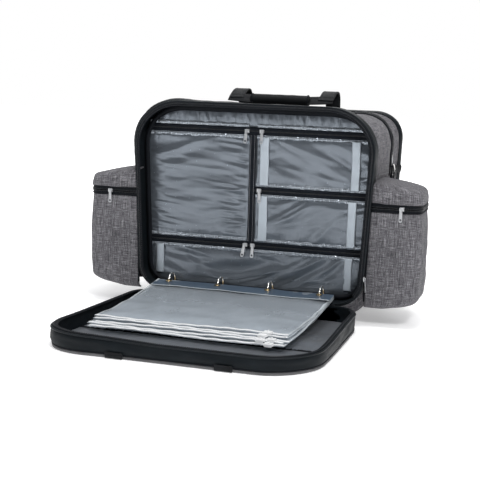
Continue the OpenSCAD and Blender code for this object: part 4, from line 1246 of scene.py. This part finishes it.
pocketLow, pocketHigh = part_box("side_pocket_right")
lidLow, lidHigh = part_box("pocket_lid_right")
for side, tag, lidBody, seed in ((1, "Right", "lid_right", 201), (-1, "Left", "lid_left", 231)):
    mirror = side > 0
    lower = tag.lower()
    grow = 0.009 if side < 0 else -0.001
    tapeFrom = pocketHigh[2] - sideBag["tape"]
    heights = np.r_[pocketLow[2] + sideBag["foot"] * (1 - np.cos(np.linspace(0, np.pi / 2, 7))),
                    np.linspace(pocketLow[2] + sideBag["foot"] + 0.004, tapeFrom, 46)]
    rows = []
    for z in heights:
        footShare = np.clip((pocketLow[2] + sideBag["foot"] - z) / sideBag["foot"], 0, 1)
        inward = sideBag["foot"] * (1 - math.sqrt(max(1 - footShare ** 2, 0)))
        rows.append(pocketRing(side, z, grow - inward, seed, (z - pocketLow[2]) / (tapeFrom - pocketLow[2])))
    centre = rows[0].mean(0)
    foot = [centre + (rows[0] - centre) * s for s in (0.0, 0.5, 0.85)]
    # the foot climbs a little towards the outside
    full = np.stack(foot + rows)
    climb = 0.010 * np.clip((np.abs(full[..., 0]) - 0.235) / 0.06, 0, 1) * np.clip(1 - (full[..., 2] - pocketLow[2]) / 0.06, 0, 1)
    full[..., 2] += climb
    pocket = gridPiece("sidePocket" + tag, full, heather, "bag", thick=0.0024, flip=mirror)
    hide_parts("side_pocket_" + lower)
    tapeRows = [pocketRing(side, z, grow + out, seed, 1.0) for z, out in
                ((tapeFrom - 0.001, -0.0006), (tapeFrom, 0.0006), (tapeFrom + 0.003, 0.0008), (pocketHigh[2] - 0.0002, 0.0004))]
    gridPiece("pocketTape" + tag, np.stack(tapeRows), tape, "bag", thick=0.0018, flip=mirror)
    tubePiece("pocketSeam" + tag, pocketRing(side, tapeFrom, grow + 0.0008, seed, 1.0), 0.0010, tape, "bag", (0, 0, 1), sides=6)
    ring = pocketRing(side, pocketHigh[2] - 0.0012, grow + 0.0008, seed, 1.0)
    outwards = np.cross(frames(ring), (0, 0, 1)) * side
    outwards /= np.linalg.norm(outwards, axis=1, keepdims=True)
    blockRow("pocketTeeth" + tag, ring, outwards, (0.0015, 0.0018, 0.0012), 0.0023, coilBlack, "bag")
    # lid, hinged on the body: tape, cloth and a domed top
    lidTape = lidLow[2] + sideBag["tape"]
    lidRows = [pocketRing(side, z, grow + out, seed + 5, 1.0) for z, out in
               ((lidLow[2] + 0.0002, 0.0004), (lidLow[2] + 0.003, 0.0008), (lidTape, 0.0006), (lidTape + 0.001, -0.0006))]
    gridPiece("lidTape" + tag, np.stack(lidRows), tape, lidBody, thick=0.0018, flip=mirror)
    ring = pocketRing(side, lidLow[2] + 0.0012, grow + 0.0008, seed + 5, 1.0)
    blockRow("lidTeeth" + tag, ring, outwards, (0.0015, 0.0018, 0.0012), 0.0023, coilBlack, lidBody)
    tubePiece("lidSeam" + tag, pocketRing(side, lidTape, grow + 0.0008, seed + 5, 1.0), 0.0010, tape, lidBody, (0, 0, 1),
              sides=6)
    top = lidHigh[2] - 0.004 - sideBag["edge"]

    def sloped(ringNow, share):  # the lid's top falls away from the body
        ringNow = np.array(ringNow)
        ringNow[:, 2] -= share * 0.010 * np.clip((np.abs(ringNow[:, 0]) - 0.2136) / 0.075, 0, 1.1)
        return ringNow

    rows = []
    for t in np.r_[np.linspace(0, 1, 12)]:
        z = lidTape + (top - lidTape) * t
        rows.append(sloped(pocketRing(side, z, grow + 0.0006 * math.sin(math.pi * t), seed + 5, 0.85 + 0.15 * t), t))
    for a in np.radians((18, 36, 54, 72, 90)):  # soft upper edge
        z = top + sideBag["edge"] * math.sin(a)
        rows.append(sloped(pocketRing(side, z, grow - sideBag["edge"] * (1 - math.cos(a)), seed + 5, 1.0), 1.0))
    rimRing = rows[-1]
    top = top + sideBag["edge"]
    anchor = np.array([side * 0.2136, rimRing[:, 1].mean(), top])
    for scale in (0.985, 0.96, 0.92, 0.84, 0.74, 0.62, 0.5, 0.38, 0.26, 0.14, 0.0):
        ringNow = anchor + (rimRing - anchor) * (scale, scale, 0)
        rise = sideBag["dome"] * (1 - scale ** 3) + 0.0018 * crease(ringNow[:, 0] * 14, ringNow[:, 1] * 14, seed + 9) * (1 - scale)
        ringNow[:, 2] = top + rise
        rows.append(sloped(ringNow, 1.0))
    lid = gridPiece("pocketLid" + tag, np.stack(rows), heather, lidBody, thick=0.0024, flip=mirror)
    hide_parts("pocket_lid_" + lower)
    # seam where the pocket is sewn to the body
    seamPath = np.array([(side * (0.2045 + 0.0065 * np.clip((z - 0.03) / 0.22, 0, 1)), pocketLow[1] - 0.0005 - 0.8 * grow, z)
                         for z in np.linspace(pocketLow[2] + 0.012, pocketHigh[2] - 0.001, 40)])
    tubePiece("pocketJoin" + tag, seamPath, 0.0016, tape, "bag", (0, 1, 0), sides=7)
    sliderMid = boxMiddle("lid_slider_" + lower)
    sliderPiece("LidSlider" + tag, "lid_slider_" + lower, "lid_slider_" + lower,
                (sliderMid[0], pocketLow[1] - 0.0012 - 0.8 * grow - sideBag["bulge"] * 0.1, pocketHigh[2] + 0.0003), (side, 0, 0), (0, -1, 0),
                tabTurn=math.radians(90) * side)
print("side pockets made")

# strap anchors, main slider, flap slider
for side, lower in ((1, "right"), (-1, "left")):
    low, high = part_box("strap_tab_right")
    y = (low[1] + high[1]) / 2
    loopPath = curved([(side * 0.2112, y, low[2]), (side * 0.2125, y, 0.236), (side * 0.2155, y, 0.2485), (side * 0.2185, y, 0.2505),
                       (side * 0.2200, y, 0.2450), (side * 0.2172, y, 0.2340), (side * 0.2142, y, low[2] + 0.001)], 0.0015, 3)
    loop = ribbonPiece("strapLoop" + lower.title(), loopPath, (0, 1, 0), 0.0215, 0.0020, "bag")
    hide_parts("strap_tab_" + lower)
    cad = frame["nodes"]["strap_ring_" + lower]
    cad.data.materials.clear()
    cad.data.materials.append(nickel)
    cad.data.polygons.foreach_set("use_smooth", [True] * len(cad.data.polygons))
mainLow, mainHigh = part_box("main_slider")
mainEdge = bodyLoop(zipY)[0]
atSlider = mainEdge[np.argmin(np.abs(mainEdge[: len(mainEdge) // 2, 2] - (mainHigh[2] - 0.005)))]
sliderPiece("MainSlider", "main_slider", "main_slider", (atSlider[0] + 0.0010, zipY + 0.0003, mainHigh[2] - 0.0045), (0, 0, 1), (1, 0, 0),
            tabTurn=-0.35, cordPull=True)
flapLow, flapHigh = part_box("flap_slider")
sliderPiece("FlapSlider", "flap_slider", "flap_slider", (flapHigh[0] - 0.0030, (flapLow[1] + flapHigh[1]) / 2, flapHigh[2] - 0.0045),
            (0, 0, 1), (1, 0, 0))
print("fittings made")

# camera, floor and light
view = {"turn": 17.55, "rise": 9.51, "away": 1.91843, "target": (-0.01414, -0.118, 0.13524), "roll": 1.61, "lens": 82.93}
turnAngle, riseAngle, rollAngle = (math.radians(view[k]) for k in ("turn", "rise", "roll"))
backward = Vector((math.sin(turnAngle) * math.cos(riseAngle), -math.cos(turnAngle) * math.cos(riseAngle), math.sin(riseAngle)))
rightward = (-backward).cross(Vector((0, 0, 1))).normalized()
upward = rightward.cross(-backward)
camRight = rightward * math.cos(rollAngle) + upward * math.sin(rollAngle)
camUp = upward * math.cos(rollAngle) - rightward * math.sin(rollAngle)
camera = bpy.data.objects.new("camera", bpy.data.cameras.new("camera"))
camera.data.lens = view["lens"]
camera.data.sensor_width = 36
camera.data.clip_end = 30
camera.matrix_world = Matrix((camRight, camUp, backward)).transposed().to_4x4()
camera.location = Vector(view["target"]) + backward * view["away"]
bpy.context.scene.collection.objects.link(camera)
bpy.context.scene.camera = camera

floorMesh = bpy.data.meshes.new("floor")
floorMesh.from_pydata([(-6, -6, 0), (6, -6, 0), (6, 6, 0), (-6, 6, 0)], [], [(0, 1, 2, 3)])
floor = bpy.data.objects.new("floor", floorMesh)
bpy.context.scene.collection.objects.link(floor)
floorPaint, floorTree, floorShader = newMaterial("floorPaint")
floorShader.inputs["Base Color"].default_value = (0.93, 0.93, 0.935, 1)
floorShader.inputs["Emission Color"].default_value = (1, 1, 1, 1)
# the floor glows: painted light, weakest near the bag and full white from about 1.5 m out
floorPlace = node(floorTree, "ShaderNodeTexCoord")
floorReach = node(floorTree, "ShaderNodeVectorMath", operation="LENGTH")
floorTree.links.new(floorPlace.outputs["Object"], floorReach.inputs[0])
floorGlow = rampAt(floorTree, mathAt(floorTree, "DIVIDE", floorReach.outputs["Value"], 3.0),
                   [(0.12, (0.34, 0.34, 0.34)), (0.30, (0.75, 0.75, 0.75)), (0.5, (1, 1, 1))])
floorTree.links.new(floorGlow, floorShader.inputs["Emission Strength"])
floorShader.inputs["Roughness"].default_value = 0.9
floorShader.inputs["Specular IOR Level"].default_value = 0.1
floorMesh.materials.append(floorPaint)

world = bpy.data.worlds.new("studio")
bpy.context.scene.world = world
world.use_nodes = True
studio = world.node_tree
backdrop = studio.nodes["Background"]
backdrop.inputs["Color"].default_value = (1, 1, 1, 1)
softSky = node(studio, "ShaderNodeBackground", Strength=0.55)
skyPlace = node(studio, "ShaderNodeTexCoord")
skySplit = node(studio, "ShaderNodeSeparateXYZ")
studio.links.new(skyPlace.outputs["Generated"], skySplit.inputs[0])
studio.links.new(rampAt(studio, skySplit.outputs["Z"], [(0.0, (0.10, 0.105, 0.115)), (0.3, (0.22, 0.23, 0.25)), (0.75, (1, 1, 1))]),
                 softSky.inputs["Color"])
seen = node(studio, "ShaderNodeLightPath")
either = node(studio, "ShaderNodeMixShader")
studio.links.new(seen.outputs["Is Camera Ray"], either.inputs[0])
studio.links.new(softSky.outputs[0], either.inputs[1])
studio.links.new(backdrop.outputs[0], either.inputs[2])
studio.links.new(either.outputs[0], studio.nodes["World Output"].inputs["Surface"])
bpy.context.scene.view_settings.view_transform = "Standard"
lamps = [("keyLamp", (1.2, -1.9, 2.0), 34, 0.6), ("fillLamp", (-1.8, -1.2, 1.3), 5, 1.0), ("topLamp", (0.1, -0.5, 2.3), 24, 0.8),
         ("backLamp", (-0.4, 2.2, 1.6), 18, 1.5)]
for lampName, lampPlace, lampPower, lampSize in lamps:
    light = bpy.data.lights.new(lampName, "AREA")
    light.energy = lampPower
    light.size = lampSize
    lamp = bpy.data.objects.new(lampName, light)
    lamp.location = lampPlace
    lamp.rotation_euler = (Vector((0, -0.1, 0.15)) - Vector(lampPlace)).to_track_quat("-Z", "Y").to_euler()
    bpy.context.scene.collection.objects.link(lamp)
print("camera and light made")
